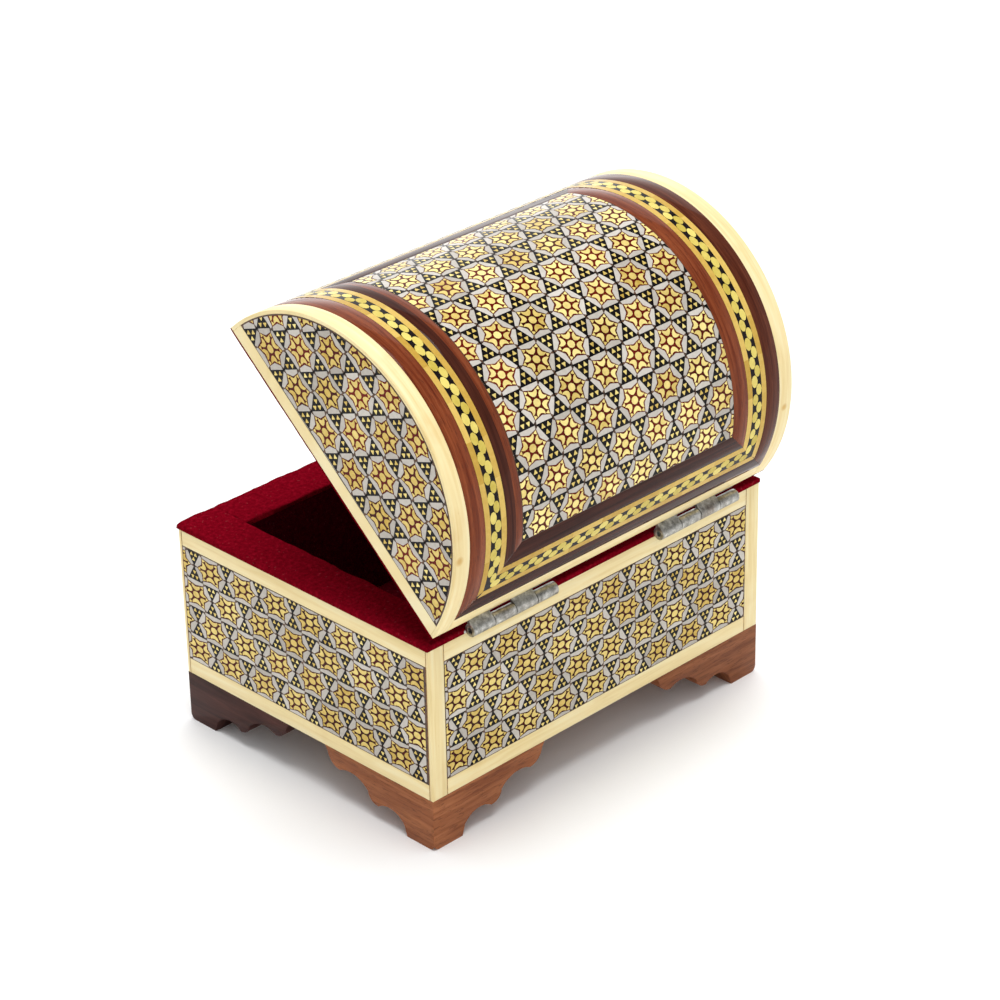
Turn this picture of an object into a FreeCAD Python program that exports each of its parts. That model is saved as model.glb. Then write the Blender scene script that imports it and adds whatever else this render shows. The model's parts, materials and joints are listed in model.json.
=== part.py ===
import FreeCAD, Part
import math
import os
import re
import Sketcher

# Domed chest of wood covered with star marquetry, bone strips and rosewood bands, lined with velvet.
# Millimetres. X runs along the hinges, the front faces -Y, the hinges are at +Y and Z is up.
# The origin is on the floor, under the middle of the box. The lid stands part open.

SIZES = {
    # box
    "box_length": 105.0,
    "box_depth": 80.5,
    "body_height": 37.2,
    "wall": 9.0,
    "corner_rabbet": 4.0,
    "bottom_thick": 5.0,
    "bottom_rabbet": 3.0,
    # veneers: the inlaid sheets, the bone strips and the rosewood bands are all this thick
    "skin": 0.9,
    "corner_strip": 4.4,
    "top_strip": 4.1,
    "bottom_strip": 3.9,
    # bracket feet, with their scallops measured down from the top of the foot
    "foot_height": 12.5,
    "bracket_length": 34.2,
    "end_foot_gap": 12.1,
    "bracket_thick": 6.0,
    "foot_round": 1.6,
    "sole_width": 8.5,
    "heel_lean": 0.8,
    "heel_drop": 9.9,
    "low_arch_length": 8.1,
    "low_arch_radius": 5.8,
    "low_cusp_drop": 8.7,
    "low_lobe_length": 3.3,
    "low_lobe_radius": 3.0,
    "low_lobe_drop": 6.1,
    "high_arch_length": 8.9,
    "high_arch_radius": 7.4,
    "high_cusp_drop": 4.6,
    "high_lobe_length": 3.8,
    "high_lobe_radius": 4.0,
    "high_lobe_drop": 1.3,
    # cloth
    "lining": 0.8,
    "rim_gap": 0.4,
    # lid
    "lid_setback": 1.2,
    "lid_rise": 36.0,
    "lid_shell": 7.0,
    "lid_end": 8.5,
    "bone_band": 4.2,
    "outer_band": 4.5,
    "chain_band": 6.1,
    "inner_band": 4.7,
    "base_strip": 3.4,
    "open_angle": 41.5,
    # hinges
    "hinge_inset": 10.5,
    "hinge_length": 25.4,
    "hinge_radius": 1.5,
    "hinge_out": 1.8,
    "leaf_thick": 0.8,
    "leaf_width": 7.5,
    "knuckle_gap": 0.2,
    "knuckle_clearance": 0.3,
    "pin_radius": 0.6,
    "pin_clearance": 0.08,
    "pin_recess": 1.0,
    "brad_radius": 0.6,
    "brad_length": 7.0,
    "brad_pitch": 12.0,
    "brad_clearance": 0.05,
    "cloth_clearance": 0.1,
}

KNUCKLES = 4

# Places that several pieces share, as formulas of the sizes above.
HALF_LENGTH = "(box_length / 2)"
HALF_DEPTH = "(box_depth / 2)"
RIM = "(foot_height + body_height)"
WOOD_HALF_LENGTH = "(box_length / 2 - skin)"
WOOD_HALF_DEPTH = "(box_depth / 2 - skin)"
CAVITY_HALF_LENGTH = "(box_length / 2 - skin - wall)"
CAVITY_HALF_DEPTH = "(box_depth / 2 - skin - wall)"
FLOOR = "(foot_height + bottom_thick)"
RIM_WIDTH = "(skin + wall + lining)"
RIM_CLOTH = "(hinge_radius - rim_gap / 2)"
HINGE_MIDDLE = "(box_length / 2 - hinge_inset - hinge_length / 2)"
KNUCKLE_LENGTH = f"((hinge_length - {KNUCKLES - 1} * knuckle_gap) / {KNUCKLES})"

# The lid is drawn shut, in a frame of its own whose origin is on the hinge axis.
LID_DEPTH = "(box_depth - lid_setback)"
LID_MIDDLE = f"(-hinge_out - {LID_DEPTH} / 2)"
LID_BASE = "hinge_radius"
DOME_RADIUS = f"((lid_rise ^ 2 + ({LID_DEPTH} / 2) ^ 2) / (2 * lid_rise))"
DOME_DIP = f"({DOME_RADIUS} - lid_rise)"
DOME_CENTRE = f"({LID_BASE} - {DOME_DIP})"
WOOD_RADIUS = f"({DOME_RADIUS} - skin)"
HOLLOW_RADIUS = f"({WOOD_RADIUS} - lid_shell)"
CLOTH_RADIUS = f"({HOLLOW_RADIUS} - lining)"
LID_RIM_END = "(skin + lid_end + lining)"
LID_HINGE_Y = "(box_depth / 2 + hinge_out)"
LID_HINGE_Z = f"({RIM} + hinge_radius)"
BRAD_INSET = "(hinge_out + skin + lid_shell / 2)"

doc = FreeCAD.newDocument("inlaid_box")
sheet = doc.addObject("Spreadsheet::Sheet", "Sizes")
for row, (alias, value) in enumerate(SIZES.items(), start=1):
    sheet.set(f"A{row}", str(value))
    sheet.setAlias(f"A{row}", alias)
doc.recompute()

sub_parts = {}


def formula(text):
    """Write each size's name in a formula as its cell of the sheet."""
    return re.sub(r"[a-z_]+", lambda word: "Sizes." + word[0] if word[0] in SIZES else word[0], text)


def number(text):
    """The present value of a formula."""
    result = sheet.evalExpression(formula(text))
    return result.Value if hasattr(result, "Value") else float(result)


def bind(item, prop, text):
    item.setExpression(prop, formula(text))


def keep(label, item):
    """Make an object one of the pieces that are written out."""
    item.Label = label
    sub_parts[label] = item
    return item


def new_sketch(body, plane, start):
    """An empty sketch on one of the body's origin planes, moved along the plane's normal."""
    sketch = body.newObject("Sketcher::SketchObject", body.Name + "_sketch")
    support = next(item for item in body.Origin.OriginFeatures if item.Role == plane)
    sketch.AttachmentSupport = [(support, "")]
    sketch.MapMode = "FlatFace"
    bind(sketch, "AttachmentOffset.Base.z", start)
    return sketch


def arc_between(start, end, radius, bulge):
    """The short arc from start to end; a bulge of 1 lies left of that way, -1 lies right of it."""
    along = end - start
    left = FreeCAD.Vector(-along.y, along.x, 0).normalize()
    reach = math.sqrt(radius ** 2 - (along.Length / 2) ** 2)
    centre = (start + end) / 2 - left * (bulge * reach)
    first, last = (end, start) if bulge > 0 else (start, end)
    angles = [math.atan2(spot.y - centre.y, spot.x - centre.x) for spot in (first, last)]
    return Part.ArcOfCircle(Part.Circle(centre, FreeCAD.Vector(0, 0, 1), radius), *angles)


def place_point(sketch, geometry, point, across, up):
    """Hold a point of a sketch at the place that two formulas give."""
    for kind, text in (("DistanceX", across), ("DistanceY", up)):
        index = sketch.addConstraint(Sketcher.Constraint(kind, -1, 1, geometry, point, number(text)))
        bind(sketch, f"Constraints[{index}]", text)


def draw_outline(sketch, points, arcs=None):
    """A closed outline. Points are pairs of formulas; arcs gives a side's radius and bulge."""
    arcs = arcs or {}
    spots = [FreeCAD.Vector(number(across), number(up), 0) for across, up in points]
    count = len(points)
    base = sketch.GeometryCount
    for side in range(count):
        start, end = spots[side], spots[(side + 1) % count]
        if side in arcs:
            radius, bulge = arcs[side]
            sketch.addGeometry(arc_between(start, end, number(radius), bulge), False)
        else:
            sketch.addGeometry(Part.LineSegment(start, end), False)

    def end_of(side, wanted):
        # an arc always runs anticlockwise, so one drawn the other way has its ends swapped
        swapped = side in arcs and arcs[side][1] > 0
        return 3 - wanted if swapped else wanted

    for side in range(count):
        after = (side + 1) % count
        sketch.addConstraint(Sketcher.Constraint(
            "Coincident", base + side, end_of(side, 2), base + after, end_of(after, 1)))
    for side, (across, up) in enumerate(points):
        place_point(sketch, base + side, end_of(side, 1), across, up)
    for side, (radius, bulge) in arcs.items():
        index = sketch.addConstraint(Sketcher.Constraint("Radius", base + side, number(radius)))
        bind(sketch, f"Constraints[{index}]", radius)


def draw_circle(sketch, across, up, radius):
    spot = FreeCAD.Vector(number(across), number(up), 0)
    index = sketch.addGeometry(Part.Circle(spot, FreeCAD.Vector(0, 0, 1), number(radius)), False)
    place_point(sketch, index, 3, across, up)
    held = sketch.addConstraint(Sketcher.Constraint("Radius", index, number(radius)))
    bind(sketch, f"Constraints[{held}]", radius)


def pad(body, sketch, length, side_type="One side"):
    feature = body.newObject("PartDesign::Pad", body.Name + "_pad")
    feature.Profile = sketch
    feature.SideType = side_type
    bind(feature, "Length", length)
    doc.recompute()


def pocket(body, sketch, length=None, along_normal=False):
    """Cut a sketch out of a body: both ways right through it, or to a length on one side of the sketch."""
    before = body.Shape.Volume
    feature = body.newObject("PartDesign::Pocket", body.Name + "_pocket")
    feature.Profile = sketch
    if length is None:
        feature.SideType = "Symmetric"
        feature.Type = "ThroughAll"
    else:
        feature.Reversed = along_normal
        bind(feature, "Length", length)
    doc.recompute()
    if body.Shape.Volume >= before:
        raise RuntimeError(f"a pocket of {body.Name} cut nothing")


def prism(label, plane, points, start, length, arcs=None, side_type="One side"):
    """A body padded from an outline, square to one of its origin planes."""
    body = doc.addObject("PartDesign::Body", label)
    sketch = new_sketch(body, plane, start)
    draw_outline(sketch, points, arcs)
    pad(body, sketch, length, side_type)
    return body


def slab(label, x_range, y_range, z_range):
    """A plain board between six planes."""
    board = doc.addObject("Part::Box", label)
    for (low, high), size, axis in zip((x_range, y_range, z_range), ("Length", "Width", "Height"), "xyz"):
        bind(board, size, f"({high}) - ({low})")
        bind(board, f"Placement.Base.{axis}", low)
    return board


def group(label, items):
    """Several separate pieces that are written out together."""
    compound = doc.addObject("Part::Compound", label)
    compound.Links = items
    return compound


def cut(label, base, tools):
    """A piece with the shapes of other pieces taken out of it."""
    for count, tool in enumerate(tools):
        result = doc.addObject("Part::Cut", f"{label}_cut_{count}")
        result.Base = base
        result.Tool = tool
        base = result
    return base


def mirror_copy(name, source, across):
    """The same shape on the other side of the box, across X or across Y."""
    copy = doc.addObject("Part::Mirroring", name)
    copy.Source = source
    copy.Normal = FreeCAD.Vector(1, 0, 0) if across == "x" else FreeCAD.Vector(0, 1, 0)
    return copy


def mirrored(label, source, across):
    """A piece that is the mirror image of another."""
    return keep(label, mirror_copy(label, source, across))


def swing_open(item):
    """Carry a piece drawn in the shut lid's frame to where the open lid holds it."""
    item.Placement = FreeCAD.Placement(FreeCAD.Vector(), FreeCAD.Rotation(FreeCAD.Vector(-1, 0, 0), 1))
    bind(item, "Placement.Base.y", LID_HINGE_Y)
    bind(item, "Placement.Base.z", LID_HINGE_Z)
    bind(item, "Placement.Rotation.Angle", "open_angle * 1deg")
    return item


# Wooden carcase

def long_wall(label, side):
    """The front or back wall, rabbeted inside at its ends for the end walls and below for the bottom."""
    outer = f"{side} * {WOOD_HALF_DEPTH}"
    inner = f"{side} * {CAVITY_HALF_DEPTH}"
    step = f"{side} * ({CAVITY_HALF_DEPTH} + corner_rabbet)"
    end, shoulder = WOOD_HALF_LENGTH, CAVITY_HALF_LENGTH
    plan = [(f"-{end}", outer), (end, outer), (end, step), (shoulder, step),
            (shoulder, inner), (f"-{shoulder}", inner), (f"-{shoulder}", step), (f"-{end}", step)]
    body = prism(label, "XY_Plane", plan, "foot_height", "body_height")
    groove = new_sketch(body, "YZ_Plane", "0")
    lip = f"{side} * ({CAVITY_HALF_DEPTH} + bottom_rabbet)"
    draw_outline(groove, [(inner, "foot_height"), (lip, "foot_height"), (lip, FLOOR), (inner, FLOOR)])
    pocket(body, groove)
    return keep(label, body)


def end_wall(label):
    """The right-hand wall, held in the long walls' rabbets, with the same rabbet below."""
    reach = f"({CAVITY_HALF_DEPTH} + corner_rabbet)"
    plan = [(CAVITY_HALF_LENGTH, f"-{reach}"), (WOOD_HALF_LENGTH, f"-{reach}"),
            (WOOD_HALF_LENGTH, reach), (CAVITY_HALF_LENGTH, reach)]
    body = prism(label, "XY_Plane", plan, "foot_height", "body_height")
    groove = new_sketch(body, "XZ_Plane", "0")
    lip = f"({CAVITY_HALF_LENGTH} + bottom_rabbet)"
    draw_outline(groove, [(CAVITY_HALF_LENGTH, "foot_height"), (lip, "foot_height"),
                          (lip, FLOOR), (CAVITY_HALF_LENGTH, FLOOR)])
    pocket(body, groove)
    return keep(label, body)


def brad_places():
    """Where the brads of both hinges stand along the box."""
    return [f"{hinge} * {HINGE_MIDDLE} + {brad} * brad_pitch / 2" for hinge in (-1, 1) for brad in (-1, 1)]


def drill_for_brads(body, y_place, face, upwards):
    """Blind holes for the brads of both hinges, from a level face of the wood."""
    for x_place in brad_places():
        sketch = new_sketch(body, "XY_Plane", face)
        draw_circle(sketch, x_place, y_place, "brad_radius + brad_clearance")
        pocket(body, sketch, "brad_length - leaf_thick", along_normal=upwards)


wall_back = long_wall("wall_back", 1)
long_wall("wall_front", -1)
drill_for_brads(wall_back, f"{LID_HINGE_Y} - {BRAD_INSET}", RIM, upwards=False)
mirrored("wall_left", end_wall("wall_right"), "x")

bottom_x = f"({CAVITY_HALF_LENGTH} + bottom_rabbet)"
bottom_y = f"({CAVITY_HALF_DEPTH} + bottom_rabbet)"
keep("bottom_board", slab("bottom_board", (f"-{bottom_x}", bottom_x), (f"-{bottom_y}", bottom_y),
                          ("foot_height", FLOOR)))

# Inlaid panels and bone strips of the box: the long faces' veneers cover the edges of the end faces' ones

long_x = ("-(box_length / 2 - corner_strip)", "box_length / 2 - corner_strip")
long_y = (WOOD_HALF_DEPTH, HALF_DEPTH)
end_x = (WOOD_HALF_LENGTH, HALF_LENGTH)
end_y = (f"-{WOOD_HALF_DEPTH}", WOOD_HALF_DEPTH)
HEIGHTS = {
    "khatam": ("foot_height + bottom_strip", f"{RIM} - top_strip"),
    "bone_top": (f"{RIM} - top_strip", RIM),
    "bone_bottom": ("foot_height", "foot_height + bottom_strip"),
}
for name, z_range in HEIGHTS.items():
    back = keep(f"{name}_back", slab(f"{name}_back", long_x, long_y, z_range))
    mirrored(f"{name}_front", back, "y")
    right = keep(f"{name}_right", slab(f"{name}_right", end_x, end_y, z_range))
    mirrored(f"{name}_left", right, "x")

corner = keep("bone_corner_back_right",
              slab("bone_corner_back_right", ("box_length / 2 - corner_strip", HALF_LENGTH), long_y,
                   ("foot_height", RIM)))
corner_left = mirrored("bone_corner_back_left", corner, "x")
mirrored("bone_corner_front_right", corner, "y")
mirrored("bone_corner_front_left", corner_left, "y")

# Feet: two scalloped brackets, mitred where they meet at the corner

def bracket(label, plane, start, corner_place, stretch, mitre):
    """One bracket, its outline drawn inwards from the corner of the box and stretched along the face."""
    def spot(along, up):
        return f"{corner_place} - ({along}) * {stretch}", up

    heel = "(sole_width + heel_lean)"
    low_cusp = f"({heel} + low_arch_length)"
    low_lobe = f"({low_cusp} + low_lobe_length)"
    high_cusp = f"({low_lobe} + high_arch_length)"
    high_lobe = f"({high_cusp} + high_lobe_length)"
    outline = [
        (f"{corner_place} - foot_round", "0"),
        spot("sole_width", "0"),
        spot(heel, "foot_height - heel_drop"),
        spot(low_cusp, "foot_height - low_cusp_drop"),
        spot(low_lobe, "foot_height - low_lobe_drop"),
        spot(high_cusp, "foot_height - high_cusp_drop"),
        spot(high_lobe, "foot_height - high_lobe_drop"),
        spot("bracket_length", "foot_height"),
        spot("0", "foot_height"),
        spot("0", "foot_round"),
    ]
    arcs = {2: ("low_arch_radius", -1), 3: ("low_lobe_radius", 1), 4: ("high_arch_radius", -1),
            5: ("high_lobe_radius", 1), 9: ("foot_round", 1)}
    body = prism(label, plane, outline, start, "bracket_thick", arcs)
    sketch = new_sketch(body, "XY_Plane", "0")
    draw_outline(sketch, mitre)
    pocket(body, sketch)
    return body


corner_x, corner_y = HALF_LENGTH, HALF_DEPTH
inner_x = "(box_length / 2 - bracket_thick)"
inner_y = "(box_depth / 2 - bracket_thick)"
end_stretch = "((box_depth - end_foot_gap) / (2 * bracket_length))"
long_bracket = bracket("long_bracket", "XZ_Plane", f"-{corner_y}", corner_x, "1",
                       [(corner_x, corner_y), (inner_x, inner_y), (corner_x, inner_y)])
end_bracket = bracket("end_bracket", "YZ_Plane", inner_x, corner_y, end_stretch,
                      [(corner_x, corner_y), (inner_x, corner_y), (inner_x, inner_y)])
foot = keep("foot_back_right", group("foot_back_right", [long_bracket, end_bracket]))
foot_left = mirrored("foot_back_left", foot, "x")
mirrored("foot_front_right", foot, "y")
mirrored("foot_front_left", foot_left, "y")

# Velvet of the box

cloth_x = f"({CAVITY_HALF_LENGTH} - lining)"
cloth_y = f"({CAVITY_HALF_DEPTH} - lining)"
wall_cloth = slab("wall_cloth", (f"-{CAVITY_HALF_LENGTH}", CAVITY_HALF_LENGTH),
                  (f"-{CAVITY_HALF_DEPTH}", CAVITY_HALF_DEPTH), (FLOOR, RIM))
cavity = slab("cavity", (f"-{cloth_x}", cloth_x), (f"-{cloth_y}", cloth_y), (FLOOR, RIM))
keep("velvet_wall_lining", cut("velvet_wall_lining", wall_cloth, [cavity]))
keep("velvet_floor_lining", slab("velvet_floor_lining", (f"-{cloth_x}", cloth_x), (f"-{cloth_y}", cloth_y),
                                 (FLOOR, f"{FLOOR} + lining")))


def rim_cloth(name, x_inner, y_front, y_back, y_inner_front, y_inner_back, z_range, hollow_z):
    """Four strips of cloth round a rim, hollowed where the hinge leaves lie; the end strips run right through."""
    end_strip = slab(f"{name}_right", (x_inner, HALF_LENGTH), (y_front, y_back), z_range)
    end_strip_left = slab(f"{name}_left", (f"-{HALF_LENGTH}", f"-{x_inner}"), (y_front, y_back), z_range)
    front_strip = slab(f"{name}_front", (f"-{x_inner}", x_inner), (y_front, y_inner_front), z_range)
    back_strip = slab(f"{name}_back", (f"-{x_inner}", x_inner), (y_inner_back, y_back), z_range)
    hollows = []
    for hinge in (-1, 1):
        reach = "(hinge_length / 2 + cloth_clearance)"
        hollow_x = (f"{hinge} * {HINGE_MIDDLE} - {reach}", f"{hinge} * {HINGE_MIDDLE} + {reach}")
        hollow_y = (f"{y_back} - leaf_width - cloth_clearance", y_back)
        hollows.append(slab(f"{name}_hollow", hollow_x, hollow_y, hollow_z))
    strips = [cut(f"{name}_{count}", strip, hollows)
              for count, strip in enumerate((end_strip, end_strip_left, back_strip))]
    return group(name, [*strips, front_strip])


rim_y = f"(box_depth / 2 - {RIM_WIDTH})"
keep("rim_velvet_box", rim_cloth("rim_velvet_box", f"(box_length / 2 - {RIM_WIDTH})", f"-{HALF_DEPTH}", HALF_DEPTH,
                                 f"-{rim_y}", rim_y, (RIM, f"{RIM} + {RIM_CLOTH}"),
                                 (RIM, f"{RIM} + leaf_thick + cloth_clearance")))

# Hinges, drawn about their axis: the box's leaf lies below it and the lid's leaf, drawn shut, above it

def hinge_leaf(label, hinge, up, knuckles):
    """A leaf with its plate, its rolled knuckles and its brad holes; up is -1 for the box and 1 for the lid."""
    middle = f"{hinge} * {HINGE_MIDDLE}"
    outer, inner = f"{up} * hinge_radius", f"{up} * (hinge_radius - leaf_thick)"
    tail = "-(hinge_out + leaf_width)"
    edge = "-(hinge_radius + knuckle_clearance)"
    plate = [(tail, outer), (edge, outer), (edge, inner), (tail, inner)]
    body = prism(label, "YZ_Plane", plate, f"{middle} - hinge_length / 2", "hinge_length")
    for knuckle in knuckles:
        start = f"{middle} - hinge_length / 2 + {knuckle} * ({KNUCKLE_LENGTH} + knuckle_gap)"
        sketch = new_sketch(body, "YZ_Plane", start)
        meet = "-sqrt(hinge_radius ^ 2 - (hinge_radius - leaf_thick) ^ 2)"
        root = "-(hinge_radius + 2 * knuckle_clearance)"
        roll = [(root, outer), ("0", outer), ("hinge_radius", "0"), ("0", f"-({outer})"), (meet, inner),
                (root, inner)]
        arcs = {side: ("hinge_radius", up) for side in (1, 2, 3)}
        draw_outline(sketch, roll, arcs)
        draw_circle(sketch, "0", "0", "pin_radius + pin_clearance")
        pad(body, sketch, KNUCKLE_LENGTH)
    for brad in (-1, 1):
        sketch = new_sketch(body, "XY_Plane", "0")
        draw_circle(sketch, f"{middle} + {brad} * brad_pitch / 2", f"-{BRAD_INSET}",
                    "brad_radius + brad_clearance")
        pocket(body, sketch)
    return keep(label, body)


def hinge_brads(label, up):
    """Four headless brads, flush with the leaves and driven into the wood."""
    lower_end = "hinge_radius - leaf_thick" if up > 0 else "leaf_thick - hinge_radius - brad_length"
    brads = []
    for x_place in brad_places():
        item = doc.addObject("Part::Cylinder", f"{label}_brad")
        bind(item, "Radius", "brad_radius")
        bind(item, "Height", "brad_length")
        bind(item, "Placement.Base.x", x_place)
        bind(item, "Placement.Base.y", f"-{BRAD_INSET}")
        bind(item, "Placement.Base.z", lower_end)
        brads.append(item)
    return keep(label, group(label, brads))


def at_hinge(item):
    """Carry a piece drawn about the hinge axis to the box."""
    bind(item, "Placement.Base.y", LID_HINGE_Y)
    bind(item, "Placement.Base.z", LID_HINGE_Z)
    return item


BOX_KNUCKLES = (0, 2)
LID_KNUCKLES = (1, 3)
for side_name, hinge in (("left", -1), ("right", 1)):
    at_hinge(hinge_leaf(f"hinge_leaf_box_{side_name}", hinge, -1, BOX_KNUCKLES))
    swing_open(hinge_leaf(f"hinge_leaf_lid_{side_name}", hinge, 1, LID_KNUCKLES))
    pin = doc.addObject("Part::Cylinder", f"hinge_pin_{side_name}")
    pin.Placement = FreeCAD.Placement(FreeCAD.Vector(), FreeCAD.Rotation(FreeCAD.Vector(0, 1, 0), 90))
    bind(pin, "Radius", "pin_radius")
    bind(pin, "Height", "hinge_length - 2 * pin_recess")
    bind(pin, "Placement.Base.x", f"{hinge} * {HINGE_MIDDLE} - hinge_length / 2 + pin_recess")
    keep(f"hinge_pin_{side_name}", at_hinge(pin))
at_hinge(hinge_brads("hinge_brads_box", -1))
swing_open(hinge_brads("hinge_brads_lid", 1))

# Lid, drawn shut in the hinge's frame

def dome_point(radius, side, distance=None):
    """A point of a dome of some radius: at the lid's base, or at a distance up the outer face from it.

    The side is 1 at the back and -1 at the front.
    """
    if distance is None:
        return f"{LID_MIDDLE} + {side} * sqrt({radius} ^ 2 - {DOME_DIP} ^ 2)", LID_BASE
    angle = f"(asin({DOME_DIP} / {DOME_RADIUS}) + ({distance}) / {DOME_RADIUS} * 180 / pi * 1deg)"
    return f"{LID_MIDDLE} + {side} * {radius} * cos{angle}", f"{DOME_CENTRE} + {radius} * sin{angle}"


def crown(radius):
    return LID_MIDDLE, f"{DOME_CENTRE} + {radius}"


def dome_shell(label, outer, inner, x_start, x_length, distance=None, side_type="One side"):
    """A sheet bent over the dome, from front to back, down to the lid's base or to a distance from it."""
    outline = [dome_point(outer, 1, distance), crown(outer), dome_point(outer, -1, distance),
               dome_point(inner, -1, distance), crown(inner), dome_point(inner, 1, distance)]
    arcs = {0: (outer, -1), 1: (outer, -1), 3: (inner, 1), 4: (inner, 1)}
    return prism(label, "YZ_Plane", outline, x_start, x_length, arcs, side_type)


def dome_strip(label, side, low, high, half_length):
    """A strip of veneer along the front or back of the dome, between two distances from the lid's base."""
    outline = [dome_point(DOME_RADIUS, side, low), dome_point(DOME_RADIUS, side, high),
               dome_point(WOOD_RADIUS, side, high), dome_point(WOOD_RADIUS, side, low)]
    arcs = {0: (DOME_RADIUS, -side), 2: (WOOD_RADIUS, side)}
    return prism(label, "YZ_Plane", outline, "0", f"2 * ({half_length})", arcs, "Symmetric")


def d_board(label, radius, x_start, x_length, foot_of_d=LID_BASE):
    """A D-shaped board that fills the dome's end, from a height upwards."""
    reach = f"sqrt({radius} ^ 2 - ({foot_of_d} - {DOME_CENTRE}) ^ 2)"
    outline = [(f"{LID_MIDDLE} + {reach}", foot_of_d), crown(radius), (f"{LID_MIDDLE} - {reach}", foot_of_d)]
    return prism(label, "YZ_Plane", outline, x_start, x_length, {0: (radius, -1), 1: (radius, -1)})


lid_shell = dome_shell("lid_shell", WOOD_RADIUS, HOLLOW_RADIUS, "0", f"2 * {WOOD_HALF_LENGTH}",
                       side_type="Symmetric")
drill_for_brads(lid_shell, f"-{BRAD_INSET}", LID_BASE, upwards=True)
keep("lid_shell", swing_open(lid_shell))

lid_end_start = f"({WOOD_HALF_LENGTH} - lid_end)"
lid_end = keep("lid_end_right", swing_open(d_board("lid_end_right", HOLLOW_RADIUS, lid_end_start, "lid_end")))
mirrored("lid_end_left", lid_end, "x")

# Veneers of the lid's ends
strip_top = f"({LID_BASE} + base_strip)"
d_panel = d_board("khatam_lid_right", WOOD_RADIUS, WOOD_HALF_LENGTH, "skin", strip_top)
mirrored("khatam_lid_left", keep("khatam_lid_right", swing_open(d_panel)), "x")
strip_reach = f"sqrt({WOOD_RADIUS} ^ 2 - ({strip_top} - {DOME_CENTRE}) ^ 2)"
base_outline = [dome_point(WOOD_RADIUS, 1), (f"{LID_MIDDLE} + {strip_reach}", strip_top),
                (f"{LID_MIDDLE} - {strip_reach}", strip_top), dome_point(WOOD_RADIUS, -1)]
base_strip = prism("bone_base_right", "YZ_Plane", base_outline, WOOD_HALF_LENGTH, "skin",
                   {0: (WOOD_RADIUS, -1), 2: (WOOD_RADIUS, -1)})
mirrored("bone_base_left", keep("bone_base_right", swing_open(base_strip)), "x")

# Veneers of the dome: bone arcs at the ends, bone strips between them, then three mitred bands
bone_arc = dome_shell("bone_arc_right", DOME_RADIUS, WOOD_RADIUS, f"{HALF_LENGTH} - bone_band", "bone_band")
mirrored("bone_arc_left", keep("bone_arc_right", swing_open(bone_arc)), "x")


def bone_edge(label, side):
    """The bone strip along the front or back of the lid's base."""
    outline = [dome_point(DOME_RADIUS, side), dome_point(DOME_RADIUS, side, "bone_band"),
               dome_point(WOOD_RADIUS, side, "bone_band"), dome_point(WOOD_RADIUS, side)]
    arcs = {0: (DOME_RADIUS, -side), 2: (WOOD_RADIUS, side)}
    body = prism(label, "YZ_Plane", outline, "0", "box_length - 2 * bone_band", arcs, "Symmetric")
    return keep(label, swing_open(body))


bone_edge("bone_edge_back", 1)
bone_edge("bone_edge_front", -1)


def band_frame(name, inset, width):
    """One band's two arcs and two straight strips, mitred at the four corners; the inset is from the edges."""
    outer_x = f"(box_length / 2 - ({inset}))"
    inner_x_of_band = f"(box_length / 2 - ({inset}) - {width})"
    low = dome_point(DOME_RADIUS, 1, inset)[1]
    high = dome_point(DOME_RADIUS, 1, f"{inset} + {width}")[1]
    arc = dome_shell(f"{name}_arc", DOME_RADIUS, WOOD_RADIUS, inner_x_of_band, width, inset)
    sketch = new_sketch(arc, "XZ_Plane", "0")
    draw_outline(sketch, [(outer_x, low), (inner_x_of_band, high), (inner_x_of_band, f"{low} - skin"),
                          (outer_x, f"{low} - skin")])
    pocket(arc, sketch)
    strips = []
    for side in (1, -1):
        strip = dome_strip(f"{name}_strip", side, inset, f"{inset} + {width}", outer_x)
        for end in (1, -1):
            corner_cut = new_sketch(strip, "XZ_Plane", "0")
            draw_outline(corner_cut, [(f"{end} * {outer_x}", low), (f"{end} * {inner_x_of_band}", high),
                                      (f"{end} * {inner_x_of_band}", f"{high} + skin"),
                                      (f"{end} * ({outer_x} + skin)", f"{high} + skin"),
                                      (f"{end} * ({outer_x} + skin)", low)])
            pocket(strip, corner_cut)
        strips.append(swing_open(strip))
    swing_open(arc)
    return [arc, mirror_copy(f"{name}_arc_left", arc, "x")], strips


outer_arcs, outer_strips = band_frame("rosewood_outer", "bone_band", "outer_band")
keep("rosewood_outer_right", outer_arcs[0])
keep("rosewood_outer_left", outer_arcs[1])
keep("rosewood_outer_back", outer_strips[0])
keep("rosewood_outer_front", outer_strips[1])
chain_arcs, chain_strips = band_frame("chain_border", "bone_band + outer_band", "chain_band")
keep("chain_border_arcs", group("chain_border_arcs", chain_arcs))
keep("chain_border_strips", group("chain_border_strips", chain_strips))
inner_arcs, inner_strips = band_frame("rosewood_inner", "bone_band + outer_band + chain_band", "inner_band")
keep("rosewood_inner_arcs", group("rosewood_inner_arcs", inner_arcs))
keep("rosewood_inner_strips", group("rosewood_inner_strips", inner_strips))

bands = "(bone_band + outer_band + chain_band + inner_band)"
field = dome_shell("khatam_lid_top", DOME_RADIUS, WOOD_RADIUS, "0", f"box_length - 2 * {bands}", bands,
                   "Symmetric")
keep("khatam_lid_top", swing_open(field))

# Velvet of the lid
hollow_half = f"({WOOD_HALF_LENGTH} - lid_end)"
keep("velvet_lid_lining", swing_open(dome_shell("velvet_lid_lining", HOLLOW_RADIUS, CLOTH_RADIUS, "0",
                                                f"2 * {hollow_half}", side_type="Symmetric")))
end_cloth = swing_open(d_board("end_cloth_right", CLOTH_RADIUS, f"{hollow_half} - lining", "lining"))
end_cloth_left = mirror_copy("end_cloth_left", end_cloth, "x")
keep("velvet_lid_end_linings", group("velvet_lid_end_linings", [end_cloth, end_cloth_left]))

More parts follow.
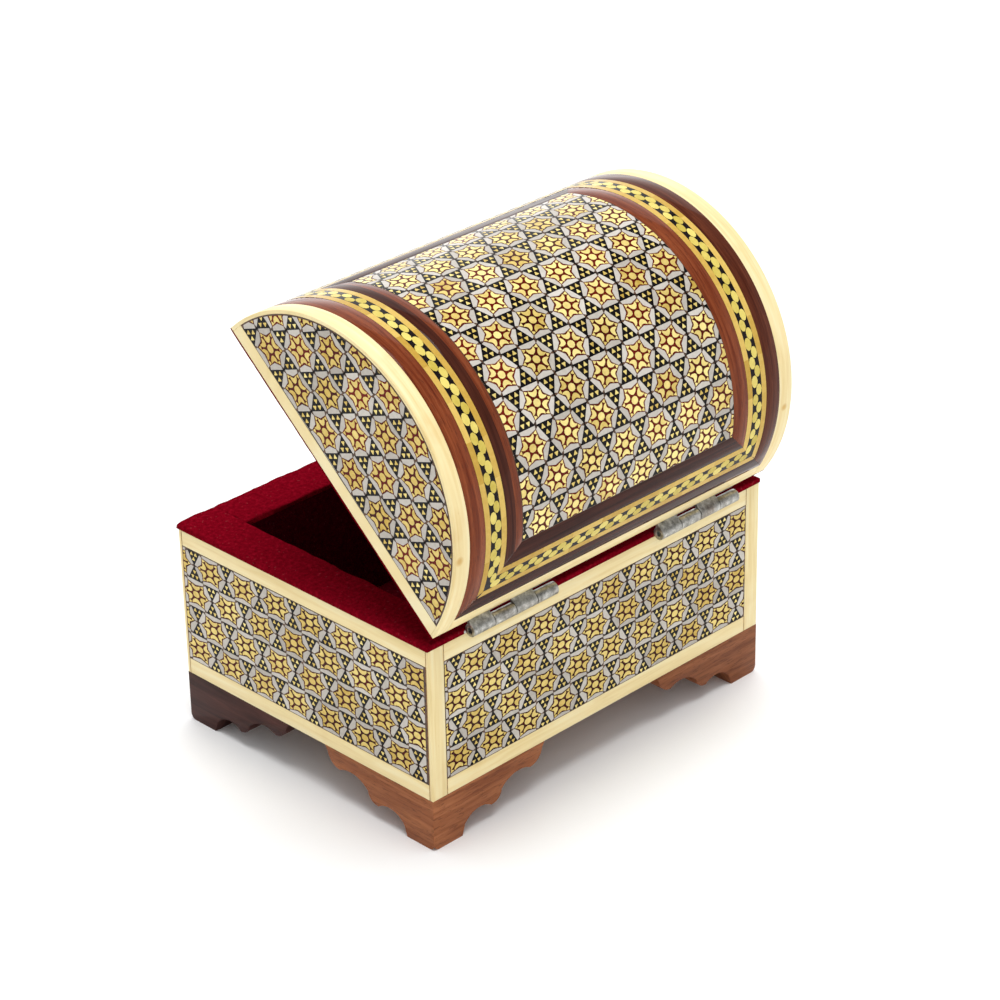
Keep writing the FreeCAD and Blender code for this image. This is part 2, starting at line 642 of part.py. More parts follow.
lid_rim = rim_cloth("rim_velvet_lid", f"(box_length / 2 - {LID_RIM_END})", f"(-hinge_out - {LID_DEPTH})",
                    "-hinge_out", dome_point(CLOTH_RADIUS, -1)[0], dome_point(CLOTH_RADIUS, 1)[0],
                    (f"{LID_BASE} - {RIM_CLOTH}", LID_BASE),
                    (f"{LID_BASE} - leaf_thick - cloth_clearance", LID_BASE))
keep("rim_velvet_lid", swing_open(lid_rim))

# Check every object, then write each piece
doc.recompute()
for item in doc.Objects:
    if "Invalid" in item.State or "Error" in item.State:
        raise RuntimeError(f"{item.Label} failed: {item.State}")
for label, item in sub_parts.items():
    if item.Shape.isNull() or not item.Shape.isValid():
        raise RuntimeError(f"{label} has no valid shape")
os.makedirs("parts", exist_ok=True)
for label, item in sub_parts.items():
    item.Shape.exportStep(f"parts/{label}.step")
print(f"{len(sub_parts)} pieces written")
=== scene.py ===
"""Looks of the inlaid wooden box, a domed chest of star marquetry, as an add-on with an operator per step."""

import json
import math
import random

import bmesh
import bpy
from bpy.props import FloatProperty, IntProperty, PointerProperty
from mathutils import Matrix, Vector, noise

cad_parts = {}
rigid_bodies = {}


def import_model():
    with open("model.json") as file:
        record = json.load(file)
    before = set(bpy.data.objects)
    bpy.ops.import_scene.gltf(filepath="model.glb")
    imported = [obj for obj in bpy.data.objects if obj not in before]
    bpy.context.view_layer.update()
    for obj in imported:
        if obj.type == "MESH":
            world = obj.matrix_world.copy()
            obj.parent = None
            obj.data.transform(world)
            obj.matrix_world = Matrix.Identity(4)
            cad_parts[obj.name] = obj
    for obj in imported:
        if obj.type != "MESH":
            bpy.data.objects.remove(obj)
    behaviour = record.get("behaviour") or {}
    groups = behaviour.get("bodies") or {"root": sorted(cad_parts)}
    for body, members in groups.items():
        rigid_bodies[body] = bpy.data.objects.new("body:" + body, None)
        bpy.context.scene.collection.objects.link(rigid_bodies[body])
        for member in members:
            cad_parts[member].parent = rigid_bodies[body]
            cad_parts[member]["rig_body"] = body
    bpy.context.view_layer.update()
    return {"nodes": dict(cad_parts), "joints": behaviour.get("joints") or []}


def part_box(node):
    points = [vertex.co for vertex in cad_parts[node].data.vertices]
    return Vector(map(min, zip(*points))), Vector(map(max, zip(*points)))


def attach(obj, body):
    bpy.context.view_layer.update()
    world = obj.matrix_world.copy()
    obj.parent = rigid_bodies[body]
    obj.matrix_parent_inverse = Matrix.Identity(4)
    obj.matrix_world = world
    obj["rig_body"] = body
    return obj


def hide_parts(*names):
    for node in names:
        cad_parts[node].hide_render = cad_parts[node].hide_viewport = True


bl_info = {
    "name": "Inlaid wooden box",
    "version": (1, 0, 0),
    "blender": (4, 5, 0),
    "location": "3D View > Sidebar > Inlaid box",
    "description": "Builds the marquetry, bone, wood, velvet and hinges of a domed chest on its CAD frame",
    "category": "Object",
}

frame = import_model()

MM = 0.001
SEED = 7
# Unseeded, this noise starts from the clock and differs from run to run
noise.seed_set(SEED)
UP = Vector((0, 0, 1))

# The lid's own frame has its origin on the hinge axis and the lid shut in it
HINGE = frame["joints"][0]
OPEN_ANGLE = math.radians(-HINGE["range_deg"][0])
LID = Matrix.Translation(HINGE["pos_m"]) @ Matrix.Rotation(OPEN_ANGLE, 4, Vector(HINGE["axis"]))
TO_LID = LID.inverted()

# Order of the material slots on the marquetry pieces
GREY, RED, EBONY, BRASS, YELLOW, BEAD = range(6)


# Settings


def a_length(label, says, millimetres):
    """A setting that is a length."""
    return FloatProperty(name=label, description=says, default=millimetres * MM, unit="LENGTH", precision=6)


def an_angle(label, says, degrees):
    """A setting that is an angle."""
    return FloatProperty(name=label, description=says, default=math.radians(degrees), subtype="ANGLE")


def a_number(label, says, value):
    """A setting that is a share or another plain number."""
    return FloatProperty(name=label, description=says, default=value)


def a_count(label, says, value):
    """A setting that is a whole number."""
    return IntProperty(name=label, description=says, default=value)


class KhatamSettings(bpy.types.PropertyGroup):
    """The star marquetry. Radii are shares of a regular hexagon's radius."""

    black_lift: a_length("Black lift", "Height of the black triangles over the panel", 0.008)
    ground_lift: a_length("Ground lift", "Height of the kites over the panel", 0.013)
    star_lift: a_length("Star lift", "Height of the stars over the panel", 0.018)
    brass_lift: a_length("Brass lift", "Height of the brass over the panel", 0.026)
    wander: a_length("Wander", "How far the rows drift from straight", 0.35)
    jitter: a_length("Jitter", "How far one star sits off its place", 0.1)
    margin: a_length("Margin", "Glue line left round a panel", 0.16)
    seam: a_length("Seam", "Width of the glue line between two bone strips", 0.16)
    corner_margin: a_length("Corner margin", "Glue line left beside the back corners on the ends", 0.6)
    arc_margin: a_length("Arc margin", "Brown line left along the bone arc of a dome end", 0.32)
    tip: a_number("Star tip", "Radius of the star's tips", 0.81)
    notch: a_number("Star notch", "Radius of the star's inner corners", 0.57)
    line: a_number("Glue line", "Share of a kite that its glue line takes", 0.045)
    kite_cut: a_number("Kite cut", "Share of a kite's outer side that black takes at each end", 0.07)
    spread: a_number("Black spread", "Share by which a black triangle runs under its neighbours", 0.1)
    dot: a_number("Centre dot", "Radius of the brass dot in the middle", 0.19)
    dot_sides: a_count("Dot sides", "Corners of the brass dot", 10)
    brass_triangle: a_number("Brass triangle", "Small triangles' radius as a share of the black one's", 0.26)
    cluster: a_number("Cluster", "How far towards a black triangle's corner each brass one sits", 0.34)
    slice: a_length("Slice", "Width of the slices that bend over the dome", 1.4)


class ChainSettings(bpy.types.PropertyGroup):
    """The chain border between the two rosewood bands."""

    start: a_length("Start", "From the lid's edge to the border", 8.7)
    width: a_length("Width", "Width of the border", 6.1)
    line_width: a_length("Line width", "Width of each yellow line", 1.5)
    pitch: a_length("Pitch", "Step from bead to bead in one row", 4.34)
    bead_length: a_length("Bead length", "A bead's size along the border", 2.85)
    bead_width: a_length("Bead width", "A bead's size across the border", 1.9)
    bead_sides: a_count("Bead sides", "Corners of a bead", 10)


class EasingSettings(bpy.types.PropertyGroup):
    """Rounding of the hard pieces' edges."""

    bone: a_length("Bone", "Rounding of bone edges", 0.14)
    rosewood: a_length("Rosewood", "Rounding of rosewood edges", 0.06)
    feet: a_length("Feet", "Rounding of the feet's edges", 0.3)
    hinges: a_length("Hinges", "Rounding of the hinges' edges", 0.2)


class VelvetSettings(bpy.types.PropertyGroup):
    """The cloth on both rims and in both hollows."""

    overhang: a_length("Overhang", "How far the rim cloth passes the bone", 0.35)
    wave: a_length("Wave", "How far the cloth's edges wander", 0.9)
    swell: a_length("Swell", "How far the cloth's face rises and falls", 0.07)
    turn: a_length("Turned edge", "Rounding where the cloth turns down", 0.4)
    mesh_step: a_length("Mesh step", "Spacing of the cloth's mesh", 1.3)
    lid_share: a_number("Lid share", "Thickness of the lid's rim cloth as a share of its CAD solid's", 0.5)
    lid_wave: a_length("Lid wave", "How far the edges of the lid's cloth wander", 0.3)
    corner: a_length("Lining corner", "Radius of the wall lining's corners", 2.0)


class StageSettings(bpy.types.PropertyGroup):
    """Camera, lamps and floor."""

    azimuth: an_angle("Azimuth", "Camera's turn round the box", 135.4144)
    elevation: an_angle("Elevation", "Camera's height angle", 27.7162)
    roll: an_angle("Roll", "Camera's tilt", -1.1452)
    distance: a_length("Distance", "Camera to target", 753.68)
    target_height: a_length("Target height", "Target over the floor", 47.25)
    aside: a_length("Aside", "Target's shift to the right", 6.405)
    above: a_length("Above", "Target's shift upward", 3.318)
    lens: a_number("Lens", "Focal length in millimetres", 119.853)
    zenith: a_number("Zenith", "How bright the dim ceiling mirrors", 0.4)
    sky: a_number("Sky", "Strength of the even light", 0.5)
    sun: a_number("Sun", "Strength of the soft lamp", 2.35)
    fill: a_number("Fill", "Strength of the lamp near the camera", 0.22)
    behind: a_number("Behind", "Strength of the lamp on the far side", 0.8)
    sun_spread: an_angle("Sun spread", "Softness of the lamps overhead and near the camera", 40)
    back_spread: an_angle("Back spread", "Softness of the lamp on the far side", 60)
    floor_size: a_length("Floor size", "Side of the floor", 6000)


# Shader helpers


def srgb(red, green, blue):
    """A colour as read off a screen, 0 to 255, as the linear colour a shader takes."""

    def straight(value):
        share = value / 255
        if share <= 0.04045:
            return share / 12.92
        return ((share + 0.055) / 1.055) ** 2.4

    return (straight(red), straight(green), straight(blue), 1.0)


def grey(value):
    """A linear grey."""
    return (value, value, value, 1.0)


class Graph:
    """A node tree with short calls to add nodes and join them."""

    def __init__(self, tree):
        self.tree = tree

    def put(self, socket, value):
        """Gives a socket its value, or links it if the value is another node's socket."""
        if isinstance(value, bpy.types.NodeSocket):
            self.tree.links.new(value, socket)
        else:
            socket.default_value = value

    def add(self, kind, inputs=None, **settings):
        """Adds a shader node with its settings and its inputs."""
        made = self.tree.nodes.new("ShaderNode" + kind)
        for key, value in settings.items():
            setattr(made, key, value)
        for name, value in (inputs or {}).items():
            self.put(made.inputs[name], value)
        return made

    def ramp(self, value, *stops):
        """A colour ramp over value; each stop is (place, colour)."""
        made = self.add("ValToRGB", {"Fac": value})
        elements = made.color_ramp.elements
        while len(elements) < len(stops):
            elements.new(0.5)
        for element, (place, colour) in zip(elements, stops):
            element.position = place
            element.color = colour
        return made.outputs["Color"]

    def mixed(self, share, first, second):
        """A colour between first and second by share."""
        made = self.add("Mix", {0: share, 6: first, 7: second}, data_type="RGBA")
        return made.outputs[2]

    def noise(self, vector, scale, detail=3.0, roughness=0.55, distortion=0.0):
        """Plain noise of about 0 to 1."""
        made = self.add("TexNoise", {
            "Vector": vector, "Scale": scale, "Detail": detail,
            "Roughness": roughness, "Distortion": distortion,
        })
        return made.outputs["Fac"]

    def math(self, operation, *values):
        """One sum on its values."""
        return self.add("Math", dict(enumerate(values)), operation=operation).outputs[0]

    def bump(self, height, distance, strength):
        """A normal bent by height."""
        made = self.add("Bump", {"Height": height, "Distance": distance, "Strength": strength})
        return made.outputs["Normal"]

    def group(self, tree, vector):
        """A use of a shared group at a vector."""
        return self.add("Group", {"Vector": vector}, node_tree=tree).outputs


def new_group(name, *outputs):
    """An empty group from a vector to numbers; gives its graph, its vector and its output sockets."""
    tree = bpy.data.node_groups.new(name, "ShaderNodeTree")
    tree.interface.new_socket("Vector", in_out="INPUT", socket_type="NodeSocketVector")
    for socket in outputs:
        tree.interface.new_socket(socket, in_out="OUTPUT", socket_type="NodeSocketFloat")
    given = tree.nodes.new("NodeGroupInput")
    result = tree.nodes.new("NodeGroupOutput")
    return Graph(tree), given.outputs["Vector"], result.inputs


# Waves to the metre: grain along and across its run, and patches without direction
GRAIN_WAVES = {"Streaks": (45, 900), "Pores": (330, 4400)}
PATCH_WAVES = {"Coarse": 85.0, "Fine": 1100.0}
# Share of a tessera's tone that is its own shade; the rest is patches within it
OWN_SHADE = 0.55


def grain_group():
    """Wood or bone grain. The vector's X runs along the grain, in metres."""
    if "Grain" in bpy.data.node_groups:
        return bpy.data.node_groups["Grain"]
    graph, vector, results = new_group("Grain", *GRAIN_WAVES)
    for name, (along, across) in GRAIN_WAVES.items():
        stretched = graph.add("Mapping", {"Vector": vector, "Scale": (along, across, across)})
        graph.put(results[name], graph.noise(stretched.outputs["Vector"], 1.0, detail=4.0, distortion=0.5))
    return graph.tree


def mottle_group():
    """Patches without direction: coarse ones of about 12 mm and fine ones of about 1 mm."""
    if "Mottle" in bpy.data.node_groups:
        return bpy.data.node_groups["Mottle"]
    graph, vector, results = new_group("Mottle", *PATCH_WAVES)
    for name, waves in PATCH_WAVES.items():
        graph.put(results[name], graph.noise(vector, waves))
    return graph.tree


def tessera_group():
    """Tone of one tessera: its own shade, with patches within it."""
    if "Tessera" in bpy.data.node_groups:
        return bpy.data.node_groups["Tessera"]
    graph, vector, results = new_group("Tessera", "Tone", "Fine")
    shade = graph.add("Attribute", attribute_name="shade").outputs["Fac"]
    patches = graph.group(mottle_group(), vector)
    own = graph.math("MULTIPLY", shade, OWN_SHADE)
    within = graph.math("MULTIPLY", patches["Fine"], 1 - OWN_SHADE)
    graph.put(results["Tone"], graph.math("ADD", own, within))
    graph.put(results["Fine"], patches["Fine"])
    return graph.tree


def new_material(name):
    """An empty material with its Principled shader; gives both and the graph."""
    material = bpy.data.materials.new(name)
    material.use_nodes = True
    material.node_tree.nodes.clear()
    graph = Graph(material.node_tree)
    shader = graph.add("BsdfPrincipled")
    graph.add("OutputMaterial", {"Surface": shader.outputs["BSDF"]})
    return material, graph, shader


def set_shader(graph, shader, **values):
    """Sets the shader's sockets; an underscore in a name stands for a space."""
    for name, value in values.items():
        graph.put(shader.inputs[name.replace("_", " ")], value)


def once(builder):
    """Makes a material the first time it is asked for and gives the same one after that."""

    def ask(*values):
        key = "_".join(["finish", builder.__name__, *[str(value) for value in values]])
        if key not in bpy.data.materials:
            made = builder(*values)
            made.name = key
        return bpy.data.materials[key]

    return ask


# Materials


# Clear lacquer that mirrors little face on and much at a glance
LACQUER = {"Coat_Weight": 1.0, "Coat_Roughness": 0.06, "Coat_IOR": 1.2}

TESSERA_TONES = {
    GREY: (srgb(174, 167, 157), srgb(214, 208, 199)),
    RED: (srgb(46, 8, 5), srgb(118, 26, 12)),
    EBONY: (srgb(6, 5, 6), srgb(24, 20, 20)),
    BRASS: (srgb(196, 162, 72), srgb(252, 234, 152)),
    YELLOW: (srgb(192, 153, 64), srgb(224, 191, 104)),
    BEAD: (srgb(196, 174, 74), srgb(234, 216, 120)),
}

# Ochre spots on the bone arcs, each as (along the lid, arc from the crown to the back, radius) in millimetres
BONE_SPOTS = ((51.3, 36.5, 1.3), (-50.2, 38.0, 1.1))

# Crimson from the depth of the pile to its tips, on the rims and in the hollows. The hollows' copy is the
# same cloth made darker: painted shade
VELVET_TONES = {
    "rim": (srgb(84, 1, 12), srgb(116, 5, 22), srgb(150, 18, 38)),
    "lining": (srgb(52, 1, 9), srgb(74, 3, 15), srgb(100, 10, 26)),
}
# Waves to the metre of the velvet's pile and its lint, and of the scuffs on steel
PILE_WAVES, LINT_WAVES, SCUFF_WAVES = 5200.0, 1500.0, 620.0


def object_place(graph):
    """The point's place in the box's own frame."""
    return graph.add("TexCoord").outputs["Object"]


def grain_place(graph):
    """The point's place along and across the grain, from the piece's own map."""
    return graph.add("UVMap", uv_map="grain").outputs["UV"]


def patchy_stuff(name, dark, light, light_from, **values):
    """A stuff with fine patches from dark to light."""
    material, graph, shader = new_material(name)
    patches = graph.group(mottle_group(), object_place(graph))
    colour = graph.ramp(patches["Fine"], (0.3, dark), (light_from, light))
    set_shader(graph, shader, Base_Color=colour, **values)
    return material


def toned_wood(name, dark, red, fleck, fleck_share, relief, **values):
    """Wood from dark to red by the piece's own tone, both as pairs of streaks, with flecks in its pores."""
    material, graph, shader = new_material(name)
    grain = graph.group(grain_group(), grain_place(graph))
    tone = graph.add("Attribute", attribute_name="tone").outputs["Fac"]
    dark_streaks, red_streaks = [
        graph.ramp(grain["Streaks"], (0.3, low), (0.7, high)) for low, high in (dark, red)
    ]
    colour = graph.mixed(tone, dark_streaks, red_streaks)
    pores = graph.math("GREATER_THAN", grain["Pores"], 0.58)
    flecked = graph.mixed(graph.math("MULTIPLY", pores, fleck_share), colour, fleck)
    normal = graph.bump(grain["Pores"], relief * MM, 0.5)
    set_shader(graph, shader, Base_Color=flecked, Normal=normal, **values)
    return material


@once
def glue():
    """Brown glue and wood between the tesserae."""
    return patchy_stuff(
        "glue", srgb(44, 30, 24), srgb(104, 72, 48), 0.7, Roughness=0.4, Specular_IOR_Level=0.3,
    )


@once
def seam():
    """Ochre-brown glue squeezed out between bone strips."""
    return patchy_stuff(
        "seam", srgb(110, 66, 28), srgb(190, 138, 74), 0.7, Roughness=0.45, Specular_IOR_Level=0.2,
    )


@once
def chain_ebony():
    """The black of the chain border, under lacquer."""
    return patchy_stuff(
        "chain_ebony", srgb(10, 8, 10), srgb(34, 25, 28), 0.75,
        Roughness=0.4, Specular_IOR_Level=0.0, **LACQUER,
    )


@once
def tessera(kind):
    """One of the six stuffs the marquetry is made of, under lacquer."""
    material, graph, shader = new_material("tessera")
    tone = graph.group(tessera_group(), object_place(graph))
    dark, light = TESSERA_TONES[kind]
    colour = graph.ramp(tone["Tone"], (0.2, dark), (0.8, light))
    normal = graph.bump(tone["Fine"], 0.02 * MM, 0.5)
    set_shader(graph, shader, Base_Color=colour, Normal=normal, Roughness=0.35, Specular_IOR_Level=0.0)
    if kind == BRASS:
        set_shader(graph, shader, Metallic=0.3, Roughness=0.45)
    set_shader(graph, shader, **LACQUER)
    return material


@once
def bone():
    """Pale yellowed bone with fine grain and a few ochre patches."""
    material, graph, shader = new_material("bone")
    grain = graph.group(grain_group(), grain_place(graph))
    place = object_place(graph)
    patches = graph.group(mottle_group(), place)
    ground = graph.ramp(
        grain["Streaks"], (0.25, srgb(232, 207, 145)), (0.5, srgb(244, 224, 168)), (0.8, srgb(249, 237, 194)),
    )
    stain = graph.ramp(patches["Coarse"], (0.6, grey(0)), (0.8, grey(0.4)))
    colour = graph.mixed(stain, ground, srgb(222, 184, 112))
    for along, arc, radius in BONE_SPOTS:
        middle = DOME.on_dome(along * MM, arc * MM, 0)
        away = graph.add("VectorMath", {0: place, 1: middle}, operation="DISTANCE").outputs["Value"]
        share = graph.math("DIVIDE", away, radius * MM)
        spot = graph.ramp(share, (0.3, grey(0.7)), (1.0, grey(0)))
        colour = graph.mixed(spot, colour, srgb(206, 156, 62))
    pores = graph.math("GREATER_THAN", grain["Pores"], 0.72)
    flecked = graph.mixed(graph.math("MULTIPLY", pores, 0.25), colour, srgb(190, 140, 76))
    normal = graph.bump(grain["Pores"], 0.02 * MM, 0.4)
    set_shader(graph, shader, Base_Color=flecked, Normal=normal, Roughness=0.4, Specular_IOR_Level=0.25)
    return material


@once
def rosewood():
    """Rosewood from dark purple-brown to reddish by the piece's own tone, under lacquer."""
    return toned_wood(
        "rosewood", (srgb(36, 14, 10), srgb(74, 37, 28)), (srgb(104, 40, 18), srgb(150, 78, 45)),
        srgb(60, 30, 24), 0.45, 0.02, Roughness=0.4, Specular_IOR_Level=0.0, **LACQUER,
    )


@once
def foot_wood():
    """Reddish brown wood of the feet, by the piece's own tone."""
    return toned_wood(
        "foot_wood", (srgb(42, 20, 17), srgb(80, 46, 40)), (srgb(132, 71, 38), srgb(186, 116, 71)),
        srgb(64, 34, 22), 0.4, 0.03, Roughness=0.5, Specular_IOR_Level=0.15,
    )


@once
def carcase_wood():
    """Plain brown wood of the hidden boards."""
    material, graph, shader = new_material("carcase_wood")
    grain = graph.group(grain_group(), object_place(graph))
    colour = graph.ramp(grain["Streaks"], (0.3, srgb(112, 72, 46)), (0.7, srgb(160, 114, 78)))
    set_shader(graph, shader, Base_Color=colour, Roughness=0.6, Specular_IOR_Level=0.25)
    return material


@once
def velvet(place_of_use):
    """Crimson velvet with a napped face and a little lint; its lining copy is darker, as painted shade of the
    hollows.
    """
    material, graph, shader = new_material("velvet")
    place = object_place(graph)
    patches = graph.group(mottle_group(), place)
    pile = graph.noise(place, PILE_WAVES, detail=2.0)
    nap = graph.math("ADD", graph.math("MULTIPLY", patches["Fine"], 0.6), graph.math("MULTIPLY", pile, 0.4))
    deep, usual, tips = VELVET_TONES[place_of_use]
    pile_colour = graph.ramp(nap, (0.3, deep), (0.52, usual), (0.75, tips))
    lint = graph.math("GREATER_THAN", graph.noise(place, LINT_WAVES, detail=0.0), 0.8)
    colour = graph.mixed(graph.math("MULTIPLY", lint, 0.07), pile_colour, srgb(214, 140, 140))
    normal = graph.bump(nap, 0.25 * MM, 0.7)
    set_shader(graph, shader, Base_Color=colour, Normal=normal, Roughness=0.9, Specular_IOR_Level=0.0)
    set_shader(graph, shader, Sheen_Weight=0.02, Sheen_Roughness=0.4, Sheen_Tint=srgb(200, 20, 40))
    return material


@once
def hinge_metal():
    """Worn grey steel, scuffed bright and stained brown in places."""
    material, graph, shader = new_material("hinge_metal")
    place = object_place(graph)
    patches = graph.group(mottle_group(), place)
    scuffs = graph.noise(place, SCUFF_WAVES, detail=5.0, roughness=0.7)
    steel = graph.ramp(
        scuffs, (0.32, srgb(108, 107, 104)), (0.5, srgb(160, 159, 153)), (0.68, srgb(214, 213, 208)),
    )
    rust = graph.ramp(patches["Coarse"], (0.56, grey(0)), (0.74, grey(0.6)))
    colour = graph.mixed(rust, steel, srgb(112, 84, 60))
    rough = graph.math("MULTIPLY_ADD", scuffs, 0.3, 0.2)
    normal = graph.bump(scuffs, 0.12 * MM, 1.0)
    set_shader(graph, shader, Base_Color=colour, Normal=normal, Roughness=rough, Metallic=0.9)
    return material


# Mesh helpers


# How far apart points may lie and still be one, and how near a cut takes a point as its own
DOUBLES, CUT_REACH = 0.001 * MM, 0.0005 * MM
# How much a point's depth shifts the grain, so that it differs from face to face
GRAIN_SLANT = 0.7


def cad_points(node, place=Matrix()):
    """The points of a CAD node, carried by place."""
    return [place @ vertex.co for vertex in frame["nodes"][node].data.vertices]


def span(points):
    """The lowest and the highest corner round some points."""
    low = Vector([min(values) for values in zip(*points)])
    high = Vector([max(values) for values in zip(*points)])
    return low, high


def nodes_of(*starts):
    """The names of the CAD nodes that start so, in order."""
    return sorted(name for name in frame["nodes"] if name.startswith(starts))


def new_mesh(shape, name):
    """Writes a bmesh as a mesh and frees it."""
    mesh = bpy.data.meshes.new(name)
    shape.to_mesh(mesh)
    shape.free()
    return mesh


def new_piece(shape, name, body, materials, nodes=(), smooth_angle=30):
    """Writes a bmesh as an object with its body, its materials and the nodes it replaces."""
    mesh = new_mesh(shape, name)
    for material in materials:
        mesh.materials.append(material)
    mesh.shade_smooth()
    mesh.set_sharp_from_angle(angle=math.radians(smooth_angle))
    piece = bpy.data.objects.new(name, mesh)
    bpy.context.scene.collection.objects.link(piece)
    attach(piece, body)
    if nodes:
        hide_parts(*nodes)
    return piece


def cad_copy(node):
    """A bmesh with a CAD node's shape, its doubled points merged and its flat faces whole."""
    shape = bmesh.new()
    shape.from_mesh(frame["nodes"][node].data)
    heal(shape)
    return shape


def heal(shape):
    """Merges doubled points and the triangles of flat faces."""
    bmesh.ops.remove_doubles(shape, verts=shape.verts, dist=DOUBLES)
    bmesh.ops.dissolve_limit(
        shape, angle_limit=math.radians(0.3), verts=shape.verts, edges=shape.edges, delimit={"NORMAL"}
    )


def round_edges(shape, edges, width, segments):
    """Rounds some edges."""
    bmesh.ops.bevel(
        shape, geom=edges, offset=width, offset_type="OFFSET", segments=segments, profile=0.5, affect="EDGES",
        material=-1, clamp_overlap=True,
    )


def ease(shape, width, sharp=40):
    """Rounds the edges that turn by more than sharp degrees."""
    edges = [e for e in shape.edges if e.is_manifold and e.calc_face_angle(0) > math.radians(sharp)]
    round_edges(shape, edges, width, 2)


def map_grain(shape, along):
    """Writes the grain map; along gives a point's place along and across the grain."""
    layer = shape.loops.layers.uv.new("grain")
    for face in shape.faces:
        for loop in face.loops:
            loop[layer].uv = along(loop.vert.co)


def grain_along_x(point):
    """Grain that runs along the box."""
    return (point.x, point.y + GRAIN_SLANT * point.z)


def grain_along_y(point):
    """Grain that runs from back to front."""
    return (point.y, point.x + GRAIN_SLANT * point.z)


def grain_upright(point):
    """Grain that runs up."""
    return (point.z, point.x + GRAIN_SLANT * point.y)


def set_tone(shape, tone):
    """Writes the tone attribute; tone is a number, or gives a face's value from its middle."""
    layer = shape.faces.layers.float.new("tone")
    for face in shape.faces:
        face[layer] = tone(face.calc_center_median()) if callable(tone) else tone


def cut(shape, point, direction, clear=False):
    """Cuts a shape by a plane, and takes away what lies past it if clear."""
    bmesh.ops.bisect_plane(
        shape, geom=shape.verts[:] + shape.edges[:] + shape.faces[:], plane_co=point, plane_no=direction,
        clear_outer=clear, dist=CUT_REACH,
    )


def face_up(shape):
    """Turns every face of a flat sheet to look up."""
    shape.normal_update()
    bmesh.ops.reverse_faces(shape, faces=[face for face in shape.faces if face.normal.z < 0])


def slice_along(shape, first, last, step):
    """Cuts a flat sheet across at every step of its second direction, so that it can bend."""
    for index in range(1, int((last - first) / step) + 1):
        cut(shape, (0, first + index * step, 0), (0, 1, 0))


# The dome


class Dome:
    """The lid's outer cylinder in the lid's own frame, measured on the CAD arcs."""

    def __init__(self):
        low, high = span(cad_points("bone_arc_right", TO_LID))
        rise = high.z - low.z
        half = (high.y - low.y) / 2
        self.base = low.z
        self.radius = (half * half + rise * rise) / (2 * rise)
        self.middle_y = (high.y + low.y) / 2
        self.middle_z = self.base + rise - self.radius
        self.half_arc = self.radius * math.acos((self.radius - rise) / self.radius)
        self.half_length = high.x

    def on_dome(self, along, arc, lift):
        """A flat point laid over the dome, in the frame. Arc is measured from the crown to the back."""
        angle = arc / self.radius
        reach = self.radius + lift
        side, up = reach * math.sin(angle), reach * math.cos(angle)
        return LID @ Vector((along, self.middle_y + side, self.middle_z + up))

    def outward(self, arc):
        """The dome's normal at an arc length, in the frame."""
        angle = arc / self.radius
        return LID.to_3x3() @ Vector((0, math.sin(angle), math.cos(angle)))

    def flat_place(self, point):
        """A point of the frame as (along X, arc length, radius)."""
        local = TO_LID @ point
        side, up = local.y - self.middle_y, local.z - self.middle_z
        return local.x, self.radius * math.atan2(side, up), math.hypot(side, up)


DOME = Dome()


def grain_round_dome(point):
    """Grain that runs over the dome from front to back."""
    along, arc, reach = DOME.flat_place(point)
    return (arc, along + GRAIN_SLANT * reach)


def grain_across_dome(point):
    """Grain that runs along the lid."""
    along, arc, reach = DOME.flat_place(point)
    return (along, arc + GRAIN_SLANT * reach)


def bend_over_dome(shape, name, materials):
    """Lays a flat sheet over the dome as a piece with the dome's own normals."""
    flat = [v.co.copy() for v in shape.verts]
    for vertex, place in zip(shape.verts, flat):
        vertex.co = DOME.on_dome(place.x, place.y, place.z)
    piece = new_piece(shape, name, "lid", materials)
    piece.data.normals_split_custom_set_from_vertices([DOME.outward(place.y) for place in flat])
    return piece


# Marquetry


def polar(radius, degrees):
    """A flat point at a radius and an angle."""
    angle = math.radians(degrees)
    return Vector((radius * math.cos(angle), radius * math.sin(angle), 0))


def middle_of(outline):
    """The mean of an outline's corners."""
    return sum(outline, Vector()) / len(outline)


def shrunk(outline, share):
    """An outline drawn in towards its middle."""
    middle = middle_of(outline)
    return [middle + (corner - middle) * (1 - share) for corner in outline]


def cut_corners(outline, share):
    """An outline with a share of each side cut off at its corners."""
    rounded = []
    count = len(outline)
    for index, corner in enumerate(outline):
        before, after = outline[index - 1], outline[(index + 1) % count]
        rounded.append(corner.lerp(before, share))
        rounded.append(corner.lerp(after, share))
    return rounded


# A crescent's outline as (radius, angle from its middle)
CRESCENT = [
    (0.63, -18), (0.53, -10), (0.495, 0), (0.53, 10), (0.63, 18), (0.54, 23),
    (0.43, 24), (0.315, 18), (0.26, 0), (0.315, -18), (0.43, -24), (0.54, -23),
]
# The small triangle in a star's tip: apex radius, base radius and half width
TIP_APEX, TIP_BASE, TIP_HALF = 0.77, 0.6, 0.1
# Share of each side that is cut off at the corners of a small brass triangle
CORNER_CUT = 0.12


